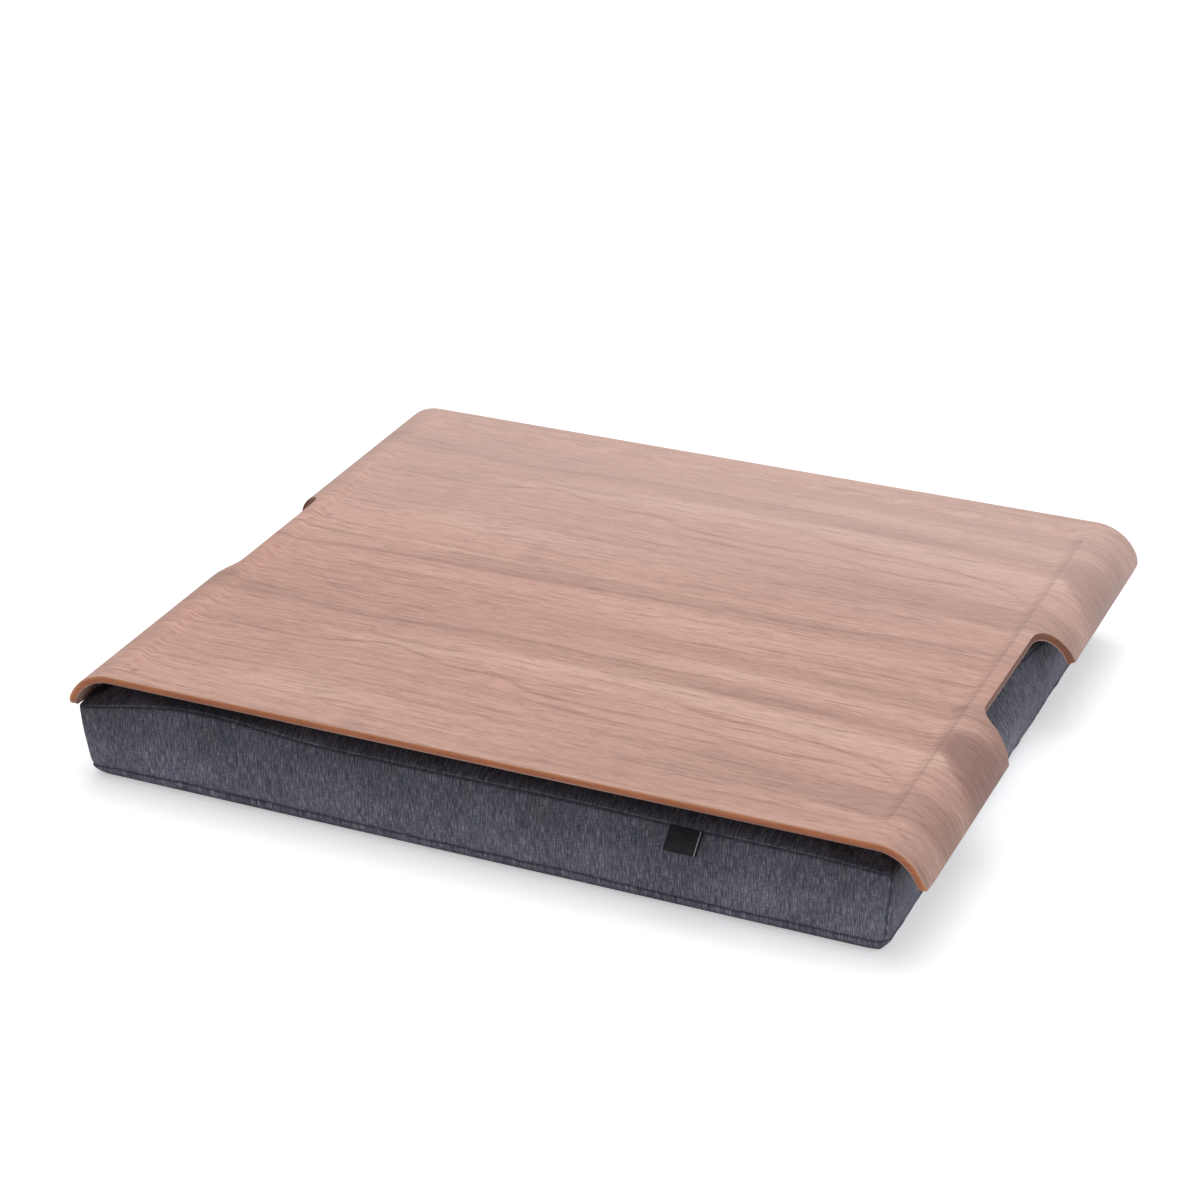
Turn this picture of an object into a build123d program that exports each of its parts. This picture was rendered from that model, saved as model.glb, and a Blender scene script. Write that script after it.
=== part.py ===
from build123d import *
import os
from math import cos, radians, sin

os.makedirs("parts", exist_ok=True)

# Driving sizes of the whole lap tray, in millimetres.
# The origin is on the floor, midway between the two handles and midway front to back.
# X runs from handle to handle, the front edge faces -Y and +Z is up.
tray_length = 460.0
tray_depth = 380.0
overall_height = 65.0
overrun = 1.0  # how far every cut runs past what it cuts

# The tray: one moulded sheet of veneers, flat in the middle and rolled down at both ends.
face_veneer_thickness = 0.6
core_ply_thickness = 0.95
core_ply_count = 3
back_veneer_thickness = 0.6
bend_radius = 26.0  # of the upper face
bend_angle = 72.0
lip_straight = 3.0  # flat run after the bend
lip_corner_radius = 5.0

core_depths = [face_veneer_thickness + core_ply_thickness * ply for ply in range(core_ply_count + 1)]
layer_depths = [0] + core_depths + [core_depths[-1] + back_veneer_thickness]
sheet_thickness = layer_depths[-1]
bend = radians(bend_angle)
flat_half = tray_length / 2 - bend_radius * sin(bend) - lip_straight * cos(bend)
bend_centre_z = overall_height - bend_radius
lip_low = bend_centre_z + (bend_radius - sheet_thickness) * cos(bend) - lip_straight * sin(bend)

# The field: a shallow flat pressed into the middle, so that cups don't slide off.
recess_depth = 2.0
recess_wall_run = 5.0  # width of the sloping wall round the field
recess_corner_radius = 14.0
recess_end_margin = 13.0  # rim left along the front and back edges
recess_bend_margin = 0.5  # rim left before each bend
recess_length = 2 * (flat_half - recess_bend_margin)
recess_width = tray_depth - 2 * recess_end_margin
field_underside = overall_height - recess_depth - sheet_thickness

# The finger cuts: one in the middle of each rolled end.
grip_inner_length = 96.0
grip_mouth_length = 120.0
grip_reach = 19.0  # from the end of the tray inward
grip_corner_radius = 14.0


def sheet_run(depth):
    """Section points at one depth into the sheet: bend start, middle and end, then the lip edge."""
    radius = bend_radius - depth
    bend_points = [
        (flat_half + radius * sin(turn), bend_centre_z + radius * cos(turn)) for turn in (0, bend / 2, bend)
    ]
    end_x, end_z = bend_points[-1]
    return bend_points + [(end_x + lip_straight * cos(bend), end_z - lip_straight * sin(bend))]


def sheet_below(depth):
    """Everything in the sheet that lies deeper than one glue line, with the field pressed into it."""
    top_start, top_middle, top_end, top_edge = sheet_run(depth)
    low_depth = sheet_thickness + recess_depth + overrun
    low_start, low_middle, low_end, low_edge = sheet_run(low_depth)
    with BuildPart() as below:
        with BuildSketch(Plane.XZ):
            with BuildLine():
                Line((0, overall_height - depth), top_start)
                ThreePointArc(top_start, top_middle, top_end)
                Line(top_end, top_edge)
                Line(top_edge, low_edge)
                Line(low_edge, low_end)
                ThreePointArc(low_end, low_middle, low_start)
                Line(low_start, (0, overall_height - low_depth))
                mirror(about=Plane.YZ)
            make_face()
        extrude(amount=tray_depth / 2, both=True)
        with BuildSketch(Plane.XY.offset(overall_height - depth)):
            RectangleRounded(recess_length, recess_width, recess_corner_radius)
        with BuildSketch(Plane.XY.offset(overall_height - depth - recess_depth)):
            RectangleRounded(
                recess_length - 2 * recess_wall_run,
                recess_width - 2 * recess_wall_run,
                recess_corner_radius - recess_wall_run,
            )
        loft(ruled=True, mode=Mode.SUBTRACT)
    return below.part


# Shape of one finger cut seen from above: a straight inner edge, round corners, flared sides.
grip_flare = (grip_mouth_length - grip_inner_length) / 2 / grip_reach
grip_outer_half = grip_mouth_length / 2 + overrun * grip_flare
with BuildPart() as grip_cutters:
    with BuildSketch(Plane.XY):
        with BuildLine():
            inner_x, outer_x = tray_length / 2 - grip_reach, tray_length / 2 + overrun
            FilletPolyline(
                (outer_x, -grip_outer_half),
                (inner_x, -grip_inner_length / 2),
                (inner_x, grip_inner_length / 2),
                (outer_x, grip_outer_half),
                radius=grip_corner_radius,
            )
            Line((outer_x, grip_outer_half), (outer_x, -grip_outer_half))
        make_face()
        mirror(about=Plane.YZ)
    extrude(amount=overall_height + overrun)

# The four lower corners of the rolled ends are rounded.
with BuildPart() as lip_corner_cutters:
    with BuildSketch(Plane.YZ):
        with Locations((0, lip_low - overrun)):
            Rectangle(tray_depth + 2 * overrun, lip_corner_radius + overrun, align=(Align.CENTER, Align.MIN))
        with Locations((0, lip_low)):
            RectangleRounded(
                tray_depth,
                overall_height,
                lip_corner_radius,
                align=(Align.CENTER, Align.MIN),
                mode=Mode.SUBTRACT,
            )
    extrude(amount=tray_length / 2 + overrun, both=True)

# The five layers of the sheet, each between two glue lines.
layer_names = ["tray_face_veneer"]
layer_names += [f"tray_core_ply_{ply + 1}" for ply in range(core_ply_count)]
layer_names += ["tray_back_veneer"]
sheets = [sheet_below(depth) for depth in layer_depths]
for name, upper, lower in zip(layer_names, sheets, sheets[1:]):
    with BuildPart() as layer:
        add(upper)
        add(lower, mode=Mode.SUBTRACT)
        add(grip_cutters.part, mode=Mode.SUBTRACT)
        add(lip_corner_cutters.part, mode=Mode.SUBTRACT)
    layer.part.label = name
    export_step(layer.part, f"parts/{name}.step")

# Hook and loop strips: the hook half is glued under the tray, the loop half is sewn on the cushion.
hook_thickness = 1.3
loop_thickness = 1.3
strip_length = 110.0
strip_width = 25.0
strip_corner_radius = 4.0
strip_end_inset = 115.0  # from the tray's end to the middle of a strip
strip_front_inset = 70.0  # from the tray's front or back edge to the middle of a strip
strip_spacing_x = tray_length - 2 * strip_end_inset
strip_spacing_y = tray_depth - 2 * strip_front_inset
cushion_top = field_underside - hook_thickness - loop_thickness
strip_centres = [place.position for place in GridLocations(strip_spacing_x, strip_spacing_y, 2, 2).locations]
for number, centre in enumerate(strip_centres, start=1):
    with BuildPart() as hook_strip:
        with BuildSketch(Plane.XY.offset(cushion_top + loop_thickness)):
            with Locations((centre.X, centre.Y)):
                RectangleRounded(strip_length, strip_width, strip_corner_radius)
        extrude(amount=hook_thickness)
    hook_strip.part.label = f"hook_strip_{number}"
    export_step(hook_strip.part, f"parts/hook_strip_{number}.step")

    with BuildPart() as loop_strip:
        with BuildSketch(Plane.XY.offset(cushion_top)):
            with Locations((centre.X, centre.Y)):
                RectangleRounded(strip_length, strip_width, strip_corner_radius)
        extrude(amount=loop_thickness)
    loop_strip.part.label = f"loop_strip_{number}"
    export_step(loop_strip.part, f"parts/loop_strip_{number}.step")

# The cushion: a boxed cover with a crowned top, softly swelling sides and a rounded foot.
cushion_end_gap = 12.5  # from the end of the tray to the top seam, on average
cushion_front_gap = 4.5  # from the front or back edge of the tray to the top seam
cushion_shift = -5.0  # it sits a little toward the left handle
top_seam_drop = 16.5  # the top seam lies this far below the tray's rim
bottom_seam_height = 7.5
seam_draw_in = 1.6  # the bottom seam lies this far inside the top seam
side_bulge = 1.8
shoulder_run = 26.0  # from the top seam to the flat of the crown
shoulder_rise = 1.6
foot_run = 8.0  # from the bottom seam to the flat of the foot
foot_rise = 1.6
flat_cut = 0.5  # the foot is pressed flat by this much where it stands
cushion_width = tray_length - 2 * cushion_end_gap
cushion_depth = tray_depth - 2 * cushion_front_gap
top_seam_height = overall_height - top_seam_drop
fabric_thickness = 1.0
sewn_gap = 0.05  # between layers that are sewn face to face


def cushion_outline(half_width, plane, inset):
    """Upright section of the cushion, with every side drawn in by the inset."""
    foot = (half_width - seam_draw_in - foot_run, -flat_cut)
    bottom_seam = (half_width - seam_draw_in, bottom_seam_height)
    top_seam = (half_width, top_seam_height)
    crown = (half_width - shoulder_run, cushion_top)
    with BuildSketch(plane) as outline:
        with BuildLine():
            Line((0, -flat_cut), foot)
            SagittaArc(foot, bottom_seam, -foot_rise)
            SagittaArc(bottom_seam, top_seam, -side_bulge)
            SagittaArc(top_seam, crown, -shoulder_rise)
            Line(crown, (0, cushion_top))
            mirror(about=Plane.YZ)
        make_face()
        if inset:
            offset(amount=-inset)
    return outline.sketch


def cushion_form(inset, drop=0):
    """The cushion's body: its two upright sections crossed, lowered by the drop and cut flat."""
    middle = (cushion_shift, 0, -drop)
    front_plane = Plane(origin=middle, x_dir=(1, 0, 0), z_dir=(0, -1, 0))
    side_plane = Plane(origin=middle, x_dir=(0, 1, 0), z_dir=(1, 0, 0))
    with BuildPart() as form:
        extrude(cushion_outline(cushion_width / 2, front_plane, inset), amount=tray_depth / 2, both=True)
        extrude(
            cushion_outline(cushion_depth / 2, side_plane, inset),
            amount=tray_length / 2,
            both=True,
            mode=Mode.INTERSECT,
        )
        split(bisect_by=Plane.XY.offset(inset - drop), keep=Keep.TOP)
    return form.part


def corner(side_x, side_y, reach):
    """Plan point on a corner's diagonal, moved outward by the reach."""
    return (cushion_shift + side_x * (cushion_width / 2 + reach), side_y * (cushion_depth / 2 + reach))


with BuildPart() as cover_shell:
    add(cushion_form(0))
    add(cushion_form(fabric_thickness), mode=Mode.SUBTRACT)

with BuildPart() as cover_top_panel:
    add(cover_shell.part)
    split(bisect_by=Plane.XY.offset(top_seam_height), keep=Keep.TOP)
cover_top_panel.part.label = "cover_top_panel"
export_step(cover_top_panel.part, "parts/cover_top_panel.step")

with BuildPart() as cover_bottom_panel:
    add(cover_shell.part)
    split(bisect_by=Plane.XY.offset(bottom_seam_height), keep=Keep.BOTTOM)
cover_bottom_panel.part.label = "cover_bottom_panel"
export_step(cover_bottom_panel.part, "parts/cover_bottom_panel.step")

# The zip runs along the back panel, so that the cover comes off the inner bag.
zip_end_margin = 52.5  # from the corner seam to the end of the zip
zip_length = cushion_width - 2 * zip_end_margin
zip_opening = 8.0  # height of the slot between the two back strips
zip_height = (top_seam_height + bottom_seam_height) / 2
zip_slot_top = zip_height + zip_opening / 2
zip_slot_low = zip_height - zip_opening / 2


def side_wedge(ends, low, high):
    """One side's share of the boxing between two heights, cut along the corner diagonals."""
    reach = shoulder_run
    inner = [corner(side_x, side_y, -reach) for side_x, side_y in ends]
    outer = [corner(side_x, side_y, reach) for side_x, side_y in reversed(ends)]
    with BuildPart() as wedge:
        with BuildSketch(Plane.XY.offset(low)):
            Polygon(*inner, *outer, align=None)
        extrude(amount=high - low)
    return wedge.part


front_ends = [(-1, -1), (1, -1)]
right_ends = [(1, -1), (1, 1)]
back_ends = [(1, 1), (-1, 1)]
left_ends = [(-1, 1), (-1, -1)]
side_panels = [
    ("cover_front_panel", front_ends, bottom_seam_height, top_seam_height),
    ("cover_right_panel", right_ends, bottom_seam_height, top_seam_height),
    ("cover_left_panel", left_ends, bottom_seam_height, top_seam_height),
    ("cover_back_upper", back_ends, zip_slot_top, top_seam_height),
    ("cover_back_lower", back_ends, bottom_seam_height, zip_slot_top),
]
with BuildPart() as zip_slot:
    with Locations((cushion_shift, cushion_depth / 2, zip_slot_low)):
        Box(zip_length, 2 * shoulder_run, zip_opening + overrun, align=(Align.CENTER, Align.CENTER, Align.MIN))
for name, ends, low, high in side_panels:
    wedge = side_wedge(ends, low, high)
    with BuildPart() as panel:
        add(cover_shell.part)
        add(wedge, mode=Mode.INTERSECT)
        if name == "cover_back_lower":
            add(zip_slot.part, mode=Mode.SUBTRACT)
    panel.part.label = name
    export_step(panel.part, f"parts/{name}.step")

# The label: a folded ribbon caught in the front top seam, lying on the front panel.
label_width = 17.0
label_drop = 13.5
label_thickness = 0.8
label_from_corner = 102.5  # from the right front corner to the label's middle
label_place = cushion_shift + cushion_width / 2 - label_from_corner
with BuildPart() as side_label:
    add(cushion_form(-sewn_gap - label_thickness))
    add(cushion_form(-sewn_gap), mode=Mode.SUBTRACT)
    with Locations((label_place, -cushion_depth / 2, top_seam_height)):
        Box(
            label_width,
            2 * shoulder_run,
            label_drop,
            align=(Align.CENTER, Align.CENTER, Align.MAX),
            mode=Mode.INTERSECT,
        )
side_label.part.label = "side_label"
export_step(side_label.part, "parts/side_label.step")

# Zip tapes: two woven bands sewn behind the back strips, one on each side of the slot.
tape_thickness = 0.5
tape_width = 12.0
tape_edge = 1.6  # from the zip's middle line to the tape's edge
tape_end = 8.0  # the tapes run on this far past the slot
tape_outset = fabric_thickness + sewn_gap
tape_inset = tape_outset + tape_thickness
with BuildPart() as tape_shell:
    add(cushion_form(tape_outset))
    add(cushion_form(tape_inset), mode=Mode.SUBTRACT)
tape_lows = {"upper": zip_height + tape_edge, "lower": zip_height - tape_edge - tape_width}
for side, tape_low in tape_lows.items():
    with BuildPart() as zip_tape:
        add(tape_shell.part)
        with Locations((cushion_shift, cushion_depth / 2, tape_low)):
            Box(
                zip_length + 2 * tape_end,
                2 * shoulder_run,
                tape_width,
                align=(Align.CENTER, Align.CENTER, Align.MIN),
                mode=Mode.INTERSECT,
            )
    zip_tape.part.label = f"zip_tape_{side}"
    export_step(zip_tape.part, f"parts/zip_tape_{side}.step")

# Zip teeth: a moulded comb along each tape's edge, its tips clear of the slider's post.
tooth_height = 1.3  # how far the teeth stand out from the tape
tooth_width = 1.5
tooth_pitch = 3.0
tooth_gap = 1.6  # between the tips of the two rows
spine_width = 1.4
stop_length = 3.0
zip_seat = 0.12  # keeps the straight rows clear of the tape's slight slope
zip_face = cushion_depth / 2 - seam_draw_in / 2 + side_bulge - tape_outset + zip_seat
zip_plane = Plane(origin=(cushion_shift, zip_face, zip_height), x_dir=(1, 0, 0), z_dir=(0, -1, 0))
row_length = zip_length - 2 * stop_length
tooth_count = round(row_length / tooth_pitch) - 1
tooth_reach = tape_edge + spine_width / 2 - tooth_gap / 2
for side, up in {"upper": 1, "lower": -1}.items():
    with BuildPart() as zip_teeth:
        with BuildSketch(zip_plane):
            with Locations((0, up * (tape_edge + spine_width / 2))):
                Rectangle(row_length, spine_width)
            with Locations((up * tooth_pitch / 4, up * (tooth_gap + tooth_reach) / 2)):
                with GridLocations(tooth_pitch, 0, tooth_count, 1):
                    Rectangle(tooth_width, tooth_reach)
        extrude(amount=-tooth_height)
    zip_teeth.part.label = f"zip_teeth_{side}"
    export_step(zip_teeth.part, f"parts/zip_teeth_{side}.step")

# Zip slider: a plate on each side of the teeth, joined by a post that runs between the rows.
slide_clearance = 0.25
slider_plate = 0.8
slider_length = 10.0
slider_height = 7.0
slider_corner_radius = 1.5
post_length = 3.0
post_width = 1.0
outer_plate_low = tooth_height + slide_clearance
inner_plate_low = tape_thickness + slide_clearance + 2 * zip_seat
slider_rest = zip_length / 2 - stop_length - slide_clearance - slider_length / 2

# Zip pull: a flat tab on a pin between two ears of the slider.
pull_length = 20.0
pull_width = 4.4
pull_thickness = 0.8
pull_pin_radius = 0.3
pin_clearance = 0.08
pull_clearance = 0.2
ear_thickness = 0.8
pull_line = outer_plate_low + slider_plate + pull_clearance + pull_thickness / 2
ear_reach = pull_line + pull_pin_radius + pull_clearance
pin_length = pull_width + 2 * pull_clearance + 2 * ear_thickness
slider_plane = Plane(
    origin=(cushion_shift + slider_rest, zip_face, zip_height), x_dir=(1, 0, 0), z_dir=(0, 1, 0)
)
pull_plane = Plane(
    origin=(cushion_shift + slider_rest, zip_face + pull_line, zip_height), x_dir=(1, 0, 0), z_dir=(0, 0, 1)
)

with BuildPart() as zip_slider:
    with BuildSketch(slider_plane.offset(outer_plate_low)):
        RectangleRounded(slider_length, slider_height, slider_corner_radius)
    extrude(amount=slider_plate)
    with BuildSketch(slider_plane.offset(-inner_plate_low)):
        RectangleRounded(slider_length, slider_height, slider_corner_radius)
    extrude(amount=-slider_plate)
    with BuildSketch(slider_plane.offset(-inner_plate_low)):
        Rectangle(post_length, post_width)
    extrude(amount=inner_plate_low + outer_plate_low)
    with BuildSketch(slider_plane.offset(outer_plate_low)):
        with GridLocations(0, pin_length - ear_thickness, 1, 2):
            Rectangle(4 * pull_pin_radius, ear_thickness)
    extrude(amount=ear_reach - outer_plate_low)
    with BuildSketch(pull_plane):
        Circle(pull_pin_radius + pin_clearance)
    extrude(amount=pin_length / 2 + overrun, both=True, mode=Mode.SUBTRACT)
zip_slider.part.label = "zip_slider"
export_step(zip_slider.part, "parts/zip_slider.step")

with BuildPart() as zip_pull:
    with BuildSketch(pull_plane):
        with Locations((-pull_length / 2, 0)):
            SlotCenterToCenter(pull_length, pull_thickness)
    extrude(amount=pull_width / 2, both=True)
    with BuildSketch(pull_plane):
        Circle(pull_pin_radius)
    extrude(amount=pin_length / 2, both=True)
zip_pull.part.label = "zip_pull"
export_step(zip_pull.part, "parts/zip_pull.step")

# Zip stops: one clip on each row at the closed end, and one box across both rows at the other.
stop_height = outer_plate_low + slider_plate
with BuildPart() as zip_top_stops:
    with BuildSketch(zip_plane):
        with Locations(((zip_length - stop_length) / 2, 0)):
            with GridLocations(0, 2 * tape_edge + spine_width, 1, 2):
                Rectangle(stop_length, spine_width)
    extrude(amount=-stop_height)
zip_top_stops.part.label = "zip_top_stops"
export_step(zip_top_stops.part, "parts/zip_top_stops.step")

with BuildPart() as zip_bottom_stop:
    with BuildSketch(zip_plane):
        with Locations((-(zip_length - stop_length) / 2, 0)):
            Rectangle(stop_length, 2 * (tape_edge + spine_width))
    extrude(amount=-stop_height)
zip_bottom_stop.part.label = "zip_bottom_stop"
export_step(zip_bottom_stop.part, "parts/zip_bottom_stop.step")

# The inner bag stands on the bottom panel, clear of the slider's inner plate, and holds the beads.
liner_thickness = 0.4
liner_inset = tape_inset + slide_clearance + slider_plate + inner_plate_low - tape_thickness
liner_drop = liner_inset - fabric_thickness
with BuildPart() as bead_liner:
    add(cushion_form(liner_inset, liner_drop))
    add(cushion_form(liner_inset + liner_thickness, liner_drop), mode=Mode.SUBTRACT)
bead_liner.part.label = "bead_liner"
export_step(bead_liner.part, "parts/bead_liner.step")

with BuildPart() as bead_fill:
    add(cushion_form(liner_inset + liner_thickness, liner_drop))
bead_fill.part.label = "bead_fill"
export_step(bead_fill.part, "parts/bead_fill.step")
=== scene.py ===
from math import asin, atan, cos, pi, radians, sin, sqrt, tan

import bmesh
import bpy
from mathutils import Matrix, Vector, noise


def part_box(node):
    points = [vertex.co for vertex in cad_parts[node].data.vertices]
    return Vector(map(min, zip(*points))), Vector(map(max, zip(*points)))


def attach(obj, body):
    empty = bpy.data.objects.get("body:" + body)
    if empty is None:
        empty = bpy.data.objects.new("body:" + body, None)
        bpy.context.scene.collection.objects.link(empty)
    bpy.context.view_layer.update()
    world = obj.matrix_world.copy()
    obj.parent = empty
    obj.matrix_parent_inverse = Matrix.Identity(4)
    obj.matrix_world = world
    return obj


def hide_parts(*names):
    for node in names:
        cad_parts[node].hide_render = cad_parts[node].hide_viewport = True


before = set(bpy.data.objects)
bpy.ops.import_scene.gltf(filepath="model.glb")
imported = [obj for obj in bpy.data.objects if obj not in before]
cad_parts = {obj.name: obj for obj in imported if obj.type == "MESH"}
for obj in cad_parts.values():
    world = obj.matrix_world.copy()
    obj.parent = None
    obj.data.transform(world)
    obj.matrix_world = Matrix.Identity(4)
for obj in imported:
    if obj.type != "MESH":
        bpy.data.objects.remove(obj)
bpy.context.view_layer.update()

# The inner bag: a plain white cotton bag, sewn shut and filled with foam beads.
# It stands inside the cover, and the closed zip keeps it out of sight.
COTTON_WHITE = (0.72, 0.70, 0.66, 1.0)
COTTON_SHADE = (0.52, 0.50, 0.46, 1.0)
HAIR = 1e-6  # points closer than this are one
BAG_STEP = 0.012
BAG_ROUND = 0.012
BAG_SHRINK = 0.0016
BAG_RIPPLE, RIPPLES_PER_METRE = 0.0015, 35.0
BAG_CORNER_DROP, BAG_CORNER_REACH = 0.015, 0.080  # the beads never fill the corners
BEAD_BUMP = 0.0006
# Hands have pushed the filling in at the finger cuts: how far along the side, inboard, in and up.
WORN_REACH, WORN_INBOARD, WORN_IN, WORN_UP = 0.095, 0.040, 0.0095, 0.0022
WORN_BELOW, WORN_ABOVE = 0.022, 0.008  # how far it shows from the seam
BAG_WORN_BELOW, BAG_WORN_ABOVE = 0.030, 0.016
BAG_WORN_SHARE = 1.25  # the bag gives way more than the cover does
ALONG_X, ALONG_Y, ALONG_Z = (1, 0, 0), (0, 1, 0), (0, 0, 1)  # directions of the cuts


def add_node(tree, kind, inputs=None, **settings):
    """Adds a shader node, sets its options, and links or fills its sockets."""
    made = tree.nodes.new(kind)
    for name, value in settings.items():
        setattr(made, name, value)
    for name, value in (inputs or {}).items():
        if isinstance(value, bpy.types.NodeSocket):
            tree.links.new(value, made.inputs[name])
        else:
            made.inputs[name].default_value = value
    return made


def start_material(name, roughness, sheen=0.0, specular=0.5):
    """A new material with its shader's steady values set, its node tree and its shader."""
    material = bpy.data.materials.new(name)
    material.use_nodes = True
    shader = material.node_tree.nodes["Principled BSDF"]
    shader.inputs["Roughness"].default_value = roughness
    shader.inputs["Sheen Weight"].default_value = sheen
    shader.inputs["Sheen Roughness"].default_value = 0.4
    shader.inputs["Specular IOR Level"].default_value = specular
    return material, material.node_tree, shader


def streaks(tree, place, per_metre, detail=2.0, rough=0.5, shift=(0.0, 0.0, 0.0)):
    """Soft noise from 0 to 1, with so many grains to the metre in each direction."""
    scaled = add_node(tree, "ShaderNodeMapping", {"Vector": place, "Location": shift, "Scale": per_metre})
    grains = {"Vector": scaled.outputs["Vector"], "Scale": 1.0, "Detail": detail, "Roughness": rough}
    return add_node(tree, "ShaderNodeTexNoise", grains).outputs["Fac"]


def ramp(tree, value, *stops):
    """A colour ramp through (position, colour) stops."""
    made = add_node(tree, "ShaderNodeValToRGB", {"Fac": value})
    elements = made.color_ramp.elements
    while len(elements) < len(stops):
        elements.new(0.5)
    for element, (position, colour) in zip(elements, stops):
        element.position = position
        element.color = colour
    return made.outputs["Color"]


def mix_colour(tree, share, first, second, how="MIX"):
    """Two colours mixed or multiplied by a share. A mix node keeps its colours in sockets 6, 7 and 2."""
    inputs = {0: share, 6: first, 7: second}
    return add_node(tree, "ShaderNodeMix", inputs, data_type="RGBA", blend_type=how).outputs[2]


def maths(tree, operation, first, second=0.0, third=0.0):
    """One step of arithmetic on node values."""
    inputs = {0: first, 1: second, 2: third}
    return add_node(tree, "ShaderNodeMath", inputs, operation=operation).outputs[0]


def times(tree, first, second):
    """Two node values multiplied."""
    return maths(tree, "MULTIPLY", first, second)


def raise_surface(tree, shader, height, distance, strength=1.0):
    """Bump from a height value, in metres of depth."""
    inputs = {"Height": height, "Distance": distance, "Strength": strength}
    bump = add_node(tree, "ShaderNodeBump", inputs)
    tree.links.new(bump.outputs["Normal"], shader.inputs["Normal"])


def object_place(tree):
    """Object coordinates, in metres of the shared frame."""
    return add_node(tree, "ShaderNodeTexCoord").outputs["Object"]


def link_piece(name, form):
    """Makes a finished bmesh into a named piece of the scene."""
    data = bpy.data.meshes.new(name)
    form.to_mesh(data)
    form.free()
    piece = bpy.data.objects.new(name, data)
    bpy.context.scene.collection.objects.link(piece)
    return piece


def cut_at(form, places, direction):
    """Cuts a mesh right across at each place along one axis."""
    for place in places:
        bmesh.ops.bisect_plane(
            form,
            geom=form.verts[:] + form.edges[:] + form.faces[:],
            dist=HAIR,
            plane_co=Vector(direction) * place,
            plane_no=direction,
        )


def steps_between(low, high, step):
    """Even cutting places between two ends, leaving both ends out."""
    count = max(1, round((high - low) / step))
    return [low + (high - low) * number / count for number in range(1, count)]


def corners(node):
    """The lowest and the highest corner of a CAD node's box."""
    return [Vector(corner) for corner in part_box(node)]


def block(low, high):
    """A plain closed block between two corners, to be cut and shaped further."""
    made = bmesh.new()
    bmesh.ops.create_cube(made, size=1.0)
    bmesh.ops.scale(made, vec=high - low, verts=made.verts)
    bmesh.ops.translate(made, vec=(low + high) / 2, verts=made.verts)
    return made


def within(value, low=0.0, high=1.0):
    """A value held between two ends."""
    return max(low, min(value, high))


def smooth_step(value):
    """Eases from 0 to 1."""
    value = within(value)
    return value * value * (3.0 - 2.0 * value)


def near(distance, reach):
    """1 at no distance, falling evenly to 0 at the reach."""
    return max(0.0, 1.0 - distance / reach)


def hollow(distance, reach):
    """How empty of beads the cloth is at a distance from a corner."""
    return near(distance, reach) ** 1.5


def worn_in(place, ends, seam_height, below=WORN_BELOW, above=WORN_ABOVE):
    """How far the filling has rolled away from the finger cuts at a place: right and left shares."""
    height = place.z - seam_height
    reach = smooth_step(near(abs(place.y), WORN_REACH))
    reach *= smooth_step(near(-height, below) if height <= 0.0 else near(height, above))
    return [reach * smooth_step(near(abs(end - place.x), WORN_INBOARD)) for end in ends]


low, high = corners("bead_liner")
bag_form = block(low, high)
for axis, direction in enumerate((ALONG_X, ALONG_Y, ALONG_Z)):
    cut_at(bag_form, steps_between(low[axis], high[axis], BAG_STEP), direction)
bag_round = Vector((BAG_ROUND, BAG_ROUND, BAG_ROUND))
for vert in bag_form.verts:
    core = Vector(map(within, vert.co, low + bag_round, high - bag_round))
    out = vert.co - core
    reach = max(abs(value) for value in out)
    if out.length > 0.0:
        vert.co = core + out * (reach / out.length)
    ripple = noise.noise(vert.co * RIPPLES_PER_METRE) * BAG_RIPPLE
    vert.co -= (vert.co - (low + high) / 2).normalized() * (BAG_SHRINK + ripple)
    roll_right, roll_left = worn_in(
        vert.co, (high.x, low.x), high.z - BAG_ROUND, BAG_WORN_BELOW, BAG_WORN_ABOVE
    )
    vert.co.x += BAG_WORN_SHARE * WORN_IN * (roll_left - roll_right)
    vert.co.z -= WORN_UP * (roll_left + roll_right)
    to_corner = Vector([min(vert.co[axis] - low[axis], high[axis] - vert.co[axis]) for axis in (0, 1)])
    drop = BAG_CORNER_DROP * hollow(to_corner.length, BAG_CORNER_REACH)
    vert.co.z -= drop * (vert.co.z - low.z) / (high.z - low.z)
for face in bag_form.faces:
    face.smooth = True
bead_bag = link_piece("bead_bag", bag_form)

cotton, tree, shader = start_material("bag cotton", 0.9, sheen=0.2)
place = object_place(tree)
weave = times(
    tree,
    streaks(tree, place, (1600.0, 200.0, 1600.0)),
    streaks(tree, place, (200.0, 1600.0, 200.0)),
)
bead_cells = add_node(tree, "ShaderNodeTexVoronoi", {"Vector": place, "Scale": 300.0}, feature="F1")
beads = bead_cells.outputs["Distance"]
colour = ramp(tree, weave, (0.15, COTTON_SHADE), (0.40, COTTON_WHITE))
# Painted shade in the hollows between the beads, where the cloth dips.
colour = mix_colour(tree, times(tree, beads, 0.25), colour, COTTON_SHADE)
tree.links.new(colour, shader.inputs["Base Color"])
raise_surface(tree, shader, maths(tree, "SUBTRACT", weave, beads), BEAD_BUMP)
bead_bag.data.materials.append(cotton)
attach(bead_bag, "cushion")
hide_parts("bead_liner", "bead_fill")

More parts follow.
